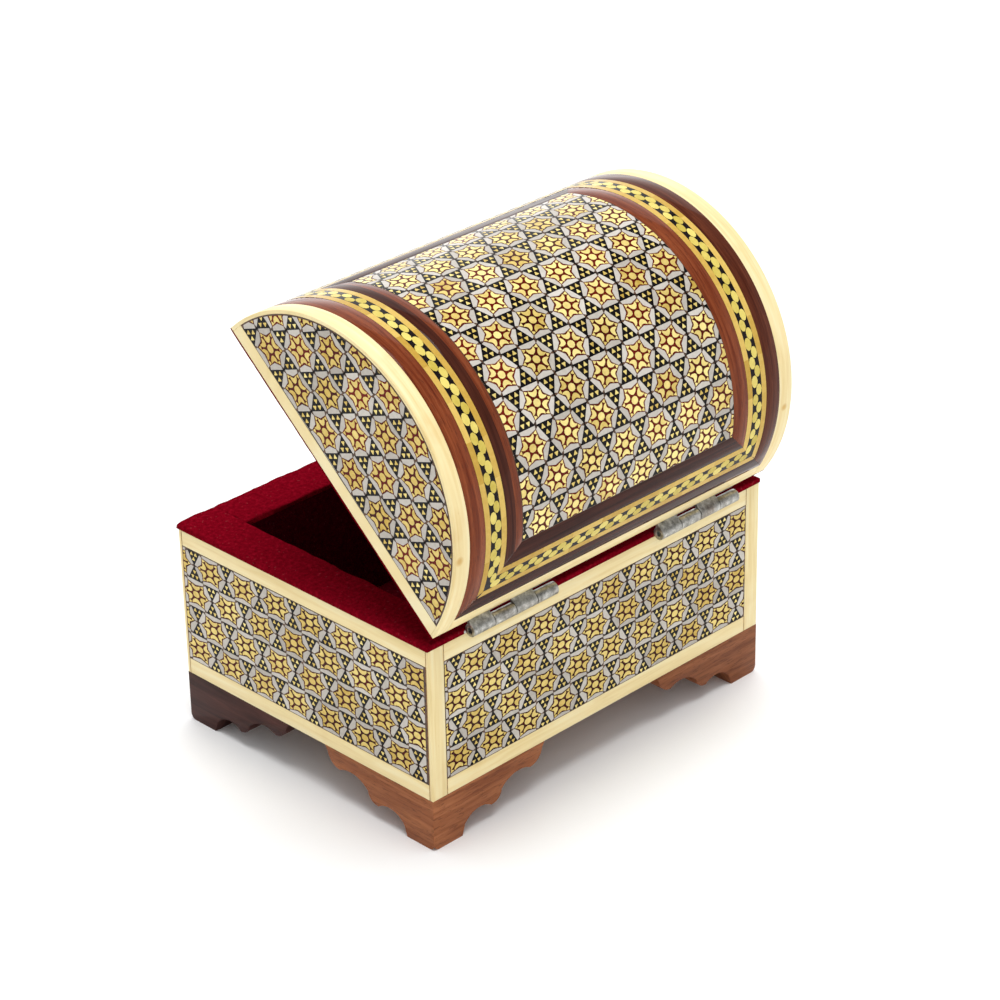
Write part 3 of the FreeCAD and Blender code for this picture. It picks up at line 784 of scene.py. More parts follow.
def star_outlines(settings):
    """The tesserae of one regular hexagon of radius 1, as (material, is part of the star, outline)."""
    drawn = []
    star = []
    for corner in range(6):
        turn = 60 * corner
        first, second = polar(1, turn), polar(1, turn + 60)
        kite = [
            polar(settings.notch, turn + 30), polar(settings.tip, turn),
            first.lerp(second, settings.kite_cut), second.lerp(first, settings.kite_cut),
            polar(settings.tip, turn + 60),
        ]
        drawn.append((GREY, False, shrunk(kite, settings.line)))
        star += [polar(settings.tip, turn), polar(settings.notch, turn + 30)]
        drawn.append((BRASS, True, [polar(radius, turn + 30 + off) for radius, off in CRESCENT]))
        turned = Matrix.Rotation(math.radians(turn), 3, "Z")
        tip = [Vector((TIP_APEX, 0, 0)), Vector((TIP_BASE, TIP_HALF, 0)), Vector((TIP_BASE, -TIP_HALF, 0))]
        drawn.append((BRASS, True, cut_corners([turned @ point for point in tip], CORNER_CUT)))
    drawn.append((RED, True, star))
    sides = settings.dot_sides
    drawn.append((BRASS, True, [polar(settings.dot, 360 * side / sides) for side in range(sides)]))
    return drawn


def stretch_to(corners, point):
    """Carries a point of the regular hexagon into a stretched one, sector by sector."""
    sector = int((math.atan2(point.y, point.x) % math.tau) // (math.pi / 3)) % 6
    first, second = polar(1, 60 * sector), polar(1, 60 * sector + 60)
    cross = first.x * second.y - first.y * second.x
    share_first = (point.x * second.y - point.y * second.x) / cross
    share_second = (first.x * point.y - first.y * point.x) / cross
    return corners[sector] * share_first + corners[(sector + 1) % 6] * share_second


def khatam_unit(settings, pitch, row, base):
    """The tesserae of one hexagon and of the two black triangles to its right, in real sizes."""
    half_side, half_row = (pitch - base) / 2, row / 2
    corners = [
        Vector((pitch / 2, 0, 0)), Vector((half_side, half_row, 0)), Vector((-half_side, half_row, 0)),
        Vector((-pitch / 2, 0, 0)), Vector((-half_side, -half_row, 0)), Vector((half_side, -half_row, 0)),
    ]
    unit = [
        (stuff, in_star, [stretch_to(corners, point) for point in outline])
        for stuff, in_star, outline in star_outlines(settings)
    ]
    for side in (1, -1):
        black = [
            corners[0],
            Vector((half_side + base, side * half_row, 0)),
            Vector((half_side, side * half_row, 0)),
        ]
        unit.append((EBONY, False, shrunk(black, -settings.spread)))
        middle = middle_of(black)
        for corner in black:
            place = middle.lerp(corner, settings.cluster)
            small = [place - (other - middle) * settings.brass_triangle for other in black]
            unit.append((BRASS, False, cut_corners(small, CORNER_CUT)))
    return unit


# Drifts of the rows to the metre
WANDER_SCALE = 28
# Share of a star's jitter by which each piece of brass sits off its own place
BRASS_JITTER = 0.4


def random_step(chance):
    """A flat step of up to 1 each way."""
    return Vector((chance.uniform(-1, 1), chance.uniform(-1, 1), 0))


def drifted(spot, reach, seed):
    """A flat point moved with the slow drift of the rows."""
    drift = noise.noise_vector(Vector((spot.x, spot.y, 0)) * WANDER_SCALE + Vector((seed, 0, 0)))
    return spot + Vector((drift.x, drift.y, 0)) * reach


def khatam_sheet(settings, lattice, low, high, seed):
    """A flat sheet of star marquetry between two corners."""
    chance = random.Random(seed)
    shape = bmesh.new()
    shade = shape.faces.layers.float.new("shade")
    pitch, row = lattice["pitch"] * MM, lattice["row"] * MM
    unit = khatam_unit(settings, pitch, row, lattice["base"] * MM)
    start = Vector((lattice["start"][0] * MM, lattice["start"][1] * MM, 0))
    lifts = {
        GREY: settings.ground_lift, EBONY: settings.black_lift,
        RED: settings.star_lift, BRASS: settings.brass_lift,
    }
    first_row = math.floor((low.y - start.y) / row) - 1
    last_row = math.ceil((high.y - start.y) / row) + 1
    concave = []
    for line in range(first_row, last_row + 1):
        shift = start.x + (pitch / 2 if line % 2 else 0)
        first = math.floor((low.x - shift) / pitch) - 1
        last = math.ceil((high.x - shift) / pitch) + 1
        for step in range(first, last + 1):
            place = Vector((shift + step * pitch, start.y + line * row, 0))
            slip = random_step(chance) * settings.jitter
            unit_shade = chance.random()
            for stuff, in_star, outline in unit:
                nudge = slip if in_star else Vector()
                own = (unit_shade + chance.random()) / 2
                if stuff == RED:
                    own *= lattice["glow"]
                # Painted light: the stars' brass is lighter on the dome's top as a painted highlight, darker
                # on the upright panels as painted shade
                if stuff == BRASS and in_star:
                    own *= lattice["brass_painted_light"]
                if stuff == BRASS:
                    nudge = nudge + random_step(chance) * settings.jitter * BRASS_JITTER
                points = []
                for corner in outline:
                    spot = drifted(place + corner + nudge, settings.wander, seed)
                    points.append(Vector((spot.x, spot.y, lifts[stuff])))
                face = shape.faces.new([shape.verts.new(point) for point in points])
                face.material_index = stuff
                face[shade] = own
                if stuff == RED or len(outline) == len(CRESCENT):
                    concave.append(face)
    face_up(shape)
    bmesh.ops.triangulate(shape, faces=concave)
    for corner, outward in ((low, (-1, 0, 0)), (low, (0, -1, 0)), (high, (1, 0, 0)), (high, (0, 1, 0))):
        cut(shape, corner, outward, clear=True)
    return shape


# The right-hand direction of each side, as seen from outside
RIGHT_OF_BACK, RIGHT_OF_FRONT = Vector((-1, 0, 0)), Vector((1, 0, 0))
RIGHT_OF_RIGHT, RIGHT_OF_LEFT = Vector((0, 1, 0)), Vector((0, -1, 0))
# Lattices in millimetres. Glow is how bright the red of the stars is; the brass value sets how bright their
# brass is, which is painted light: a painted highlight on the dome's top and painted shade on the upright
# panels
LONG_LATTICE = {
    "pitch": 10.57, "row": 7.3, "base": 4.26, "start": (2.99, 41.95), "glow": 0.2, "brass_painted_light": 0.7,
}
END_LATTICE = {
    "pitch": 11.04, "row": 7.3, "base": 4.3, "start": (3.02, 41.95), "glow": 0.4, "brass_painted_light": 0.7,
}
DOME_END_LATTICE = {
    "pitch": 10.7, "row": 8.18, "base": 4.63, "start": (-39.0, 9.17), "glow": 1.0, "brass_painted_light": 0.6,
}
DOME_TOP_LATTICE = {
    "pitch": 10.26, "row": 8.2, "base": 4.7, "start": (6.78, -12.9), "glow": 0.9, "brass_painted_light": 1.45,
}
# Each flat panel's right-hand direction, its lattice and whether it is on the lid
FLAT_PANELS = {
    "khatam_back": (RIGHT_OF_BACK, LONG_LATTICE, False),
    "khatam_front": (RIGHT_OF_FRONT, LONG_LATTICE, False),
    "khatam_right": (RIGHT_OF_RIGHT, END_LATTICE, False),
    "khatam_left": (RIGHT_OF_LEFT, END_LATTICE, False),
    "khatam_lid_right": (RIGHT_OF_RIGHT, DOME_END_LATTICE, True),
    "khatam_lid_left": (RIGHT_OF_LEFT, DOME_END_LATTICE, True),
}
# Planes that cut a sheet to the arc of a dome end
ARC_PLANES = 60


def flat_panel(settings, node, right, lattice, on_lid, seed):
    """The marquetry of one flat panel, as a piece on its CAD node."""
    outward = right.cross(UP)
    to_own = TO_LID if on_lid else Matrix.Identity(4)
    points = cad_points(node, to_own)
    face_place = max(p.dot(outward) for p in points)
    sides = [p.dot(right) for p in points]
    heights = [p.z for p in points]
    margin = Vector((settings.margin, settings.margin, 0))
    low = Vector((min(sides), min(heights), 0)) + margin
    high = Vector((max(sides), max(heights), 0)) - margin
    if not on_lid and right.y > 0:
        high.x -= settings.corner_margin
    if not on_lid and right.y < 0:
        low.x += settings.corner_margin
    placed = dict(lattice)
    if on_lid and right.y < 0:
        placed["start"] = (-lattice["start"][0], lattice["start"][1])
    shape = khatam_sheet(settings, placed, low, high, seed)
    if on_lid:
        middle = Vector((DOME.middle_y * right.y, DOME.middle_z, 0))
        radii = [math.hypot(p.y - DOME.middle_y, p.z - DOME.middle_z) for p in points]
        reach = max(radii) - settings.arc_margin
        for index in range(ARC_PLANES + 1):
            spoke = polar(1, 180 * index / ARC_PLANES)
            cut(shape, middle + spoke * reach, spoke, clear=True)
    for vertex in shape.verts:
        local = right * vertex.co.x + UP * vertex.co.y + outward * (face_place + vertex.co.z)
        vertex.co = LID @ local if on_lid else local
    return new_piece(shape, "stars_" + node, "lid" if on_lid else "box", marquetry())


def marquetry():
    """The tessera materials in slot order."""
    return [tessera(kind) for kind in TESSERA_TONES]


# Length of one piece of a yellow line
LINE_PIECE = 9 * MM
# How much higher the outer row of beads lies, so that touching beads don't flicker
BEAD_STEP = 0.004 * MM
# The smallest and the largest bead, as shares of the usual size
BEAD_SIZES = (0.94, 1.06)


def chain_side(settings, lift, shape, length, corner_of, seed):
    """One side of the chain border. corner_of carries (along, in from the lid's edge) to the flat sheet."""
    chance = random.Random(seed)
    shade = shape.faces.layers.float.get("shade")
    half = length / 2

    def add(stuff, outline, rise=0.0):
        face = shape.faces.new([shape.verts.new(corner_of(*corner, lift + rise)) for corner in outline])
        face.material_index = stuff
        face[shade] = chance.random()

    for near in (settings.start, settings.start + settings.width - settings.line_width):
        far = near + settings.line_width
        for index in range(math.ceil(length / LINE_PIECE)):
            first = -half + index * LINE_PIECE
            last = first + LINE_PIECE
            outer = [max(first, near - half), min(last, half - near)]
            inner = [max(first, far - half), min(last, half - far)]
            if outer[0] < outer[1] and inner[0] < inner[1]:
                add(YELLOW, [(outer[0], near), (outer[1], near), (inner[1], far), (inner[0], far)])
    middle = settings.start + settings.width / 2
    sway = settings.width / 2 - settings.line_width - settings.bead_width / 2
    count = int((half - middle) / settings.pitch * 2)
    for index in range(-count, count + 1):
        in_outer_row = index % 2 == 0
        across = middle - sway if in_outer_row else middle + sway
        size = chance.uniform(*BEAD_SIZES) / 2
        turn = 360 * chance.random() / settings.bead_sides
        bead = []
        for side in range(settings.bead_sides):
            spoke = polar(size, turn + 360 * side / settings.bead_sides)
            along = index * settings.pitch / 2 + spoke.x * settings.bead_length
            bead.append((along, across + spoke.y * settings.bead_width))
        add(BEAD, bead, BEAD_STEP if in_outer_row else 0.0)


# Velvet


# Steps of the noise that moves the cloth: folds and fuzz of the rims, ripples of the linings
FOLD, FUZZ, RIPPLE, WALL_RIPPLE = 6 * MM, 1.6 * MM, 9 * MM, 8 * MM
# Shares of folds and fuzz in the wander of a rim's edges
FOLD_SHARE, FUZZ_SHARE = 0.6, 0.3
# Gap where two strips of rim cloth butt
STRIP_GAP = 0.06 * MM
# The fewest cells of a cloth's mesh each way, and the corners of the circle that the end linings are cut from
FEWEST_CELLS, CIRCLE_SIDES = 4, 96


def cells(length, step):
    """How many mesh cells a length of cloth has."""
    return max(FEWEST_CELLS, int(length / step))


def cloth_noise(point, step, seed):
    """Smooth noise at a point of the frame, of about -1 to 1 each way."""
    return noise.noise_vector(point / step + Vector((seed, seed * 2, 0)))


def rim_strip(settings, wave, shape, low, high, drop, seed):
    """Adds one strip of rim cloth that lies between two corners and turns down at its edges."""
    size = high - low
    before = set(shape.verts)
    made = bmesh.ops.create_grid(
        shape,
        x_segments=cells(size.x, settings.mesh_step),
        y_segments=cells(size.y, settings.mesh_step),
        size=1,
        matrix=Matrix.Translation((low + high) / 2) @ Matrix.Diagonal((size.x / 2, size.y / 2, 1, 1)),
    )
    corners = set(made["verts"])
    rim = [e for e in shape.edges if e.is_boundary and e.verts[0] in corners]
    turned = bmesh.ops.extrude_edge_only(shape, edges=rim)["geom"]
    lowered = [v for v in turned if isinstance(v, bmesh.types.BMVert)]
    bmesh.ops.translate(shape, verts=lowered, vec=(0, 0, -drop))
    round_edges(shape, rim, settings.turn, 3)
    fresh = [v for v in shape.verts if v not in before]
    for vertex in fresh:
        fold = cloth_noise(vertex.co, FOLD, seed)
        fuzz = cloth_noise(vertex.co, FUZZ, seed + 3)
        loose = 1 - min(1.0, (low.z + settings.swell - vertex.co.z) / drop)
        vertex.co.x += wave * (FOLD_SHARE * fold.x + FUZZ_SHARE * fuzz.x) * loose
        vertex.co.y += wave * (FOLD_SHARE * fold.y + FUZZ_SHARE * fuzz.y) * loose
        vertex.co.z += settings.swell * (fold.z + fuzz.z) / 2 * loose


def velvet_rim(settings, wave, name, body, node, outer, inner, tops, place, seed):
    """The four butted strips of one rim: the two end strips run the full depth."""
    shape = bmesh.new()
    top, drop = tops
    front, back = outer[1], outer[2]
    strips = [
        ((-outer[0], front), (-inner[0], back)),
        ((inner[0], front), (outer[0], back)),
        ((-inner[0] + STRIP_GAP, front), (inner[0] - STRIP_GAP, inner[1])),
        ((-inner[0] + STRIP_GAP, inner[2]), (inner[0] - STRIP_GAP, back)),
    ]
    for index, (low, high) in enumerate(strips):
        rim_strip(settings, wave, shape, Vector((*low, top)), Vector((*high, top)), drop, seed + index)
    bmesh.ops.transform(shape, matrix=place, verts=shape.verts)
    piece = new_piece(shape, name, body, [velvet("rim")], [node], smooth_angle=80)
    return piece


def cloth_sheet(settings, width, length):
    """A flat grid of cloth about the origin."""
    shape = bmesh.new()
    bmesh.ops.create_grid(
        shape,
        x_segments=cells(width, settings.mesh_step),
        y_segments=cells(length, settings.mesh_step),
        size=1,
        matrix=Matrix.Diagonal((width / 2, length / 2, 1, 1)),
    )
    return shape


def ring_point(half_x, half_y, corner, along):
    """A point of a rounded rectangle and its inward normal, at a length from its front side's middle."""
    straight_x, straight_y = 2 * (half_x - corner), 2 * (half_y - corner)
    quarter = corner * math.pi / 2
    sides = [
        (straight_x / 2, Vector((0, -half_y)), 0),
        (straight_y, Vector((half_x, -half_y + corner)), 90),
        (straight_x, Vector((half_x - corner, half_y)), 180),
        (straight_y, Vector((-half_x, half_y - corner)), 270),
        (straight_x / 2, Vector((-half_x + corner, -half_y)), 360),
    ]
    for index, (length, start, heading) in enumerate(sides):
        angle = math.radians(heading)
        ahead = Vector((math.cos(angle), math.sin(angle)))
        inward = Vector((-math.sin(angle), math.cos(angle)))
        if along <= length or index == len(sides) - 1:
            return start + ahead * along, inward
        along -= length
        if along <= quarter:
            turn = along / corner
            centre = start + ahead * length + inward * corner
            spoke = Matrix.Rotation(turn, 2) @ -inward
            return centre + spoke * corner, -spoke
        along -= quarter
    raise ValueError("the lining is longer than its ring")


# Operators


class INLAIDBOX_OT_carcase(bpy.types.Operator):
    """Finish the hidden boards, the brads and the grounds of the marquetry, which keep their CAD shapes"""

    bl_idname = "inlaid_box.carcase"
    bl_label = "Carcase"

    def execute(self, context):
        finishes = {
            "wall_": carcase_wood, "bottom_board": carcase_wood,
            "lid_shell": carcase_wood, "lid_end_": carcase_wood,
            "hinge_brads_": hinge_metal, "khatam_": glue, "chain_border_": chain_ebony,
        }
        for name, node in frame["nodes"].items():
            for start, finish in finishes.items():
                if name.startswith(start):
                    node.data.materials.clear()
                    node.data.materials.append(finish())
        return {"FINISHED"}


class INLAIDBOX_OT_bone(bpy.types.Operator):
    """Ease the bone strips of the box and the lid"""

    bl_idname = "inlaid_box.bone"
    bl_label = "Bone strips"

    def execute(self, context):
        width = context.scene.easing_settings.bone
        grains = {
            "bone_arc_": grain_round_dome, "bone_edge_": grain_across_dome,
            "bone_base_": grain_round_dome, "bone_corner_": grain_upright,
        }
        for node in nodes_of("bone_"):
            shape = cad_copy(node)
            ease(shape, width)
            along = grain_along_y if node.endswith(("_left", "_right")) else grain_along_x
            for start, grain in grains.items():
                if node.startswith(start):
                    along = grain
            map_grain(shape, along)
            body = frame["nodes"][node]["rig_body"]
            new_piece(shape, "eased_" + node, body, [bone()], [node])
        return {"FINISHED"}


class INLAIDBOX_OT_glue_lines(bpy.types.Operator):
    """Draw the thin brown lines where bone strips butt"""

    bl_idname = "inlaid_box.glue_lines"
    bl_label = "Glue lines"

    def execute(self, context):
        settings = context.scene.khatam_settings
        width, lift = settings.seam, settings.brass_lift
        shape = bmesh.new()
        corner_low, corner_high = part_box("bone_corner_back_right")
        top_low, bottom_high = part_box("bone_top_back")[0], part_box("bone_bottom_back")[1]
        middle = (corner_low + corner_high) / 2
        height = corner_high.z - corner_low.z
        for side_x in (1, -1):
            for side_y in (1, -1):
                spot = Vector((side_x * (corner_high.x + lift), side_y * corner_low.y, middle.z))
                self.line(shape, spot, Vector((side_x, 0, 0)), width, height)
                for low, high in ((corner_low.z, bottom_high.z), (top_low.z, corner_high.z)):
                    spot = Vector((side_x * corner_low.x, side_y * (corner_high.y + lift), (low + high) / 2))
                    self.line(shape, spot, Vector((0, side_y, 0)), width, high - low)
        new_piece(shape, "bone_glue_lines", "box", [seam()])
        return {"FINISHED"}

    def line(self, shape, spot, outward, width, height):
        """Adds one upright line that faces outward."""
        turned = outward.to_track_quat("Z", "Y").to_matrix().to_4x4()
        size = Matrix.Diagonal((width / 2, height / 2, 1, 1))
        bmesh.ops.create_grid(
            shape, x_segments=1, y_segments=1, size=1, matrix=Matrix.Translation(spot) @ turned @ size
        )


# The inner band of the right-hand end is dark from here outward
DARK_STRIPE = 34.9 * MM


class INLAIDBOX_OT_rosewood(bpy.types.Operator):
    """Ease the rosewood bands of the lid and give each its tone"""

    bl_idname = "inlaid_box.rosewood"
    bl_label = "Rosewood bands"

    def execute(self, context):
        width = context.scene.easing_settings.rosewood

        def inner_arc_tone(middle):
            if middle.x < 0:
                return 0.85
            return 0.75 if middle.x < DARK_STRIPE else 0.1

        tones = {
            "rosewood_outer_right": 0.9,
            "rosewood_outer_left": 0.3,
            "rosewood_inner_arcs": inner_arc_tone,
        }
        for node in nodes_of("rosewood_"):
            shape = cad_copy(node)
            ease(shape, width)
            if node == "rosewood_inner_arcs":
                cut(shape, (DARK_STRIPE, 0, 0), (1, 0, 0))
            round_dome = node.endswith(("_arcs", "_left", "_right"))
            map_grain(shape, grain_round_dome if round_dome else grain_across_dome)
            set_tone(shape, tones.get(node, 0.0))
            new_piece(shape, "eased_" + node, "lid", [rosewood()], [node])
        return {"FINISHED"}


# How near the mitre plane a face's middle counts as on it
MITRE_REACH = 0.01 * MM


class INLAIDBOX_OT_feet(bpy.types.Operator):
    """Ease the four bracket feet, each of a long and an end bracket mitred at the corner"""

    bl_idname = "inlaid_box.feet"
    bl_label = "Feet"

    def execute(self, context):
        width = context.scene.easing_settings.feet
        tones = {
            "foot_back_right": 0.85, "foot_front_right": 0.0, "foot_back_left": 0.6, "foot_front_left": 0.5,
        }
        for node, tone in tones.items():
            low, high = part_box(node)
            corner = Vector((max((low.x, high.x), key=abs), max((low.y, high.y), key=abs), 0))
            whole = bmesh.new()
            for is_long in (True, False):
                part = self.bracket(node, corner, is_long)
                ease(part, width)
                map_grain(part, grain_along_x if is_long else grain_along_y)
                set_tone(part, tone)
                carrier = new_mesh(part, "carrier")
                whole.from_mesh(carrier)
                bpy.data.meshes.remove(carrier)
            new_piece(whole, "eased_" + node, "box", [foot_wood()], [node])
        return {"FINISHED"}

    def bracket(self, node, corner, is_long):
        """One of a foot's two brackets, told apart by the mitre plane between them."""
        shape = bmesh.new()
        shape.from_mesh(frame["nodes"][node].data)
        inward_x, inward_y = -math.copysign(1, corner.x), -math.copysign(1, corner.y)
        others = []
        for face in shape.faces:
            middle = face.calc_center_median()
            past_mitre = abs(corner.x - middle.x) - abs(corner.y - middle.y)
            if abs(past_mitre) < MITRE_REACH:
                past_mitre = -(face.normal.x * inward_x - face.normal.y * inward_y)
            if (past_mitre > 0) != is_long:
                others.append(face)
        bmesh.ops.delete(shape, geom=others, context="FACES")
        heal(shape)
        return shape


class INLAIDBOX_OT_khatam(bpy.types.Operator):
    """Lay the star marquetry on the six flat panels and over the dome"""

    bl_idname = "inlaid_box.khatam"
    bl_label = "Star marquetry"

    def execute(self, context):
        settings = context.scene.khatam_settings
        for index, (node, (right, lattice, on_lid)) in enumerate(FLAT_PANELS.items()):
            flat_panel(settings, node, right, lattice, on_lid, SEED + 10 * index)
        places = [DOME.flat_place(point) for point in cad_points("khatam_lid_top")]
        half_x = max(place[0] for place in places) - settings.margin
        half_arc = max(place[1] for place in places) - settings.margin
        low, high = Vector((-half_x, -half_arc, 0)), Vector((half_x, half_arc, 0))
        shape = khatam_sheet(settings, DOME_TOP_LATTICE, low, high, SEED + 100)
        slice_along(shape, -half_arc, half_arc, settings.slice)
        bend_over_dome(shape, "stars_khatam_lid_top", marquetry())
        return {"FINISHED"}


class INLAIDBOX_OT_chain(bpy.types.Operator):
    """Lay the yellow lines and the beads of the chain border over the dome"""

    bl_idname = "inlaid_box.chain"
    bl_label = "Chain border"

    def execute(self, context):
        settings = context.scene.chain_settings
        lift = context.scene.khatam_settings.ground_lift
        shape = bmesh.new()
        shape.faces.layers.float.new("shade")
        half_x, half_arc = DOME.half_length, DOME.half_arc

        def back(along, edge, lift):
            return Vector((-along, half_arc - edge, lift))

        def front(along, edge, lift):
            return Vector((along, -half_arc + edge, lift))

        def right(along, edge, lift):
            return Vector((half_x - edge, along, lift))

        def left(along, edge, lift):
            return Vector((-half_x + edge, -along, lift))

        sides = ((back, 2 * half_x), (front, 2 * half_x), (right, 2 * half_arc), (left, 2 * half_arc))
        for index, (corner_of, length) in enumerate(sides):
            chain_side(settings, lift, shape, length, corner_of, SEED + index)
        face_up(shape)
        slice_along(shape, -half_arc, half_arc, context.scene.khatam_settings.slice)
        bend_over_dome(shape, "chain_beads", marquetry())
        return {"FINISHED"}


class INLAIDBOX_OT_velvet(bpy.types.Operator):
    """Lay the cloth on both rims and line both hollows"""

    bl_idname = "inlaid_box.velvet"
    bl_label = "Velvet"

    def execute(self, context):
        settings = context.scene.velvet_settings
        self.box_rim(settings)
        self.lid_rim(settings)
        self.box_linings(settings)
        self.lid_linings(settings)
        return {"FINISHED"}

    def box_rim(self, settings):
        """The rim of the box; its back edge keeps clear of the knuckles."""
        low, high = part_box("rim_velvet_box")
        inner_x, inner_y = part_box("velvet_floor_lining")[1].xy
        outer = (high.x + settings.overhang, low.y - settings.overhang, high.y)
        velvet_rim(
            settings, settings.wave, "rim_cloth_box", "box", "rim_velvet_box", outer,
            (inner_x, -inner_y, inner_y), (high.z, high.z - low.z), Matrix.Identity(4), SEED,
        )

    def lid_rim(self, settings):
        """The rim of the lid, made face up and turned over."""
        low, high = span(cad_points("rim_velvet_lid", TO_LID))
        lining = cad_points("velvet_lid_end_linings", TO_LID)
        inner_low, inner_high = span(lining)
        inner_x = min(abs(p.x) for p in lining)
        thickness = settings.lid_share * (high.z - low.z)
        turned_over = Matrix.Rotation(math.pi, 4, "X")
        velvet_rim(
            settings, settings.lid_wave, "rim_cloth_lid", "lid", "rim_velvet_lid", (high.x, -high.y, -low.y),
            (inner_x, -inner_high.y, -inner_low.y), (thickness - high.z, thickness), LID @ turned_over,
            SEED + 40,
        )

    def box_linings(self, settings):
        """The cloth on the cavity's floor and round its walls."""
        low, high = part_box("velvet_floor_lining")
        size = high - low
        floor = cloth_sheet(settings, size.x, size.y)
        for vertex in floor.verts:
            ripple = settings.swell * cloth_noise(vertex.co, RIPPLE, SEED).z
            vertex.co.z = high.z - settings.swell + ripple
        # The lining velvet is darker than the rim's: painted shade of the hollow
        piece = new_piece(floor, "floor_cloth", "box", [velvet("lining")], ["velvet_floor_lining"])

        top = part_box("velvet_wall_lining")[1].z
        height = top - high.z
        around = 4 * (high.x + high.y) - settings.corner * (8 - math.tau)
        walls = cloth_sheet(settings, around, height)
        for vertex in walls.verts:
            along, up = vertex.co.x + around / 2, vertex.co.y + (high.z + top) / 2
            spot, inward = ring_point(high.x, high.y, settings.corner, along)
            ripple = settings.swell * cloth_noise(Vector((spot.x, spot.y, up)), WALL_RIPPLE, SEED + 5).z
            spot = spot + inward * (ripple - settings.swell)
            vertex.co = Vector((spot.x, spot.y, up))
        bmesh.ops.reverse_faces(walls, faces=walls.faces)
        piece = new_piece(walls, "wall_cloth", "box", [velvet("lining")], ["velvet_wall_lining"])

    def lid_linings(self, settings):
        """The cloth under the dome and on the two ends of its hollow."""
        places = [DOME.flat_place(point) for point in cad_points("velvet_lid_lining")]
        reach = min(place[2] for place in places)
        half_x = max(place[0] for place in places)
        half_angle = math.acos((DOME.base - DOME.middle_z) / reach)
        arc = 2 * half_angle * reach
        dome = cloth_sheet(settings, 2 * half_x, arc)
        for vertex in dome.verts:
            ripple = settings.swell * cloth_noise(vertex.co, RIPPLE, SEED + 9).z
            angle = vertex.co.y / reach
            depth = reach - DOME.radius + settings.swell - ripple
            vertex.co = DOME.on_dome(vertex.co.x, angle * DOME.radius, depth)
        bmesh.ops.reverse_faces(dome, faces=dome.faces)
        # The lining velvet is darker than the rim's: painted shade under the dome
        piece = new_piece(dome, "dome_cloth", "lid", [velvet("lining")], ["velvet_lid_lining"])

        ends = cad_points("velvet_lid_end_linings", TO_LID)
        inner_x = min(abs(p.x) for p in ends)
        drop = DOME.base - DOME.middle_z
        for side, name in ((1, "end_cloth_right"), (-1, "end_cloth_left")):
            shape = bmesh.new()
            bmesh.ops.create_circle(shape, cap_ends=True, segments=CIRCLE_SIDES, radius=reach)
            cut(shape, (0, drop, 0), (0, -1, 0), clear=True)
            for vertex in shape.verts:
                across, up = vertex.co.xy
                vertex.co = LID @ Vector((side * inner_x, DOME.middle_y - side * across, DOME.middle_z + up))
            piece = new_piece(shape, name, "lid", [velvet("lining")], ["velvet_lid_end_linings"])


class INLAIDBOX_OT_hinges(bpy.types.Operator):
    """Ease the hinge leaves and pins and give them their worn steel"""

    bl_idname = "inlaid_box.hinges"
    bl_label = "Hinges"

    def execute(self, context):
        width = context.scene.easing_settings.hinges
        for node in nodes_of("hinge_leaf_", "hinge_pin_"):
            shape = cad_copy(node)
            ease(shape, width)
            body = frame["nodes"][node]["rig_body"]
            new_piece(shape, "eased_" + node, body, [hinge_metal()], [node])
        return {"FINISHED"}


# How far the lamp overhead and the one near the camera lean aside, and how high the far one stands
OVERHEAD_LEAN, FILL_LEAN, FAR_SIDE_RISE = 0.05, 0.3, 0.35
# Heights between which the sky, as mirrored in the box, goes from white to dim
WHITE_BELOW, DIM_ABOVE = 0.15, 0.5
# Width of the camera's sensor in millimetres, and the nearest distance that it sees
SENSOR_WIDTH, NEAREST = 36.0, 10 * MM


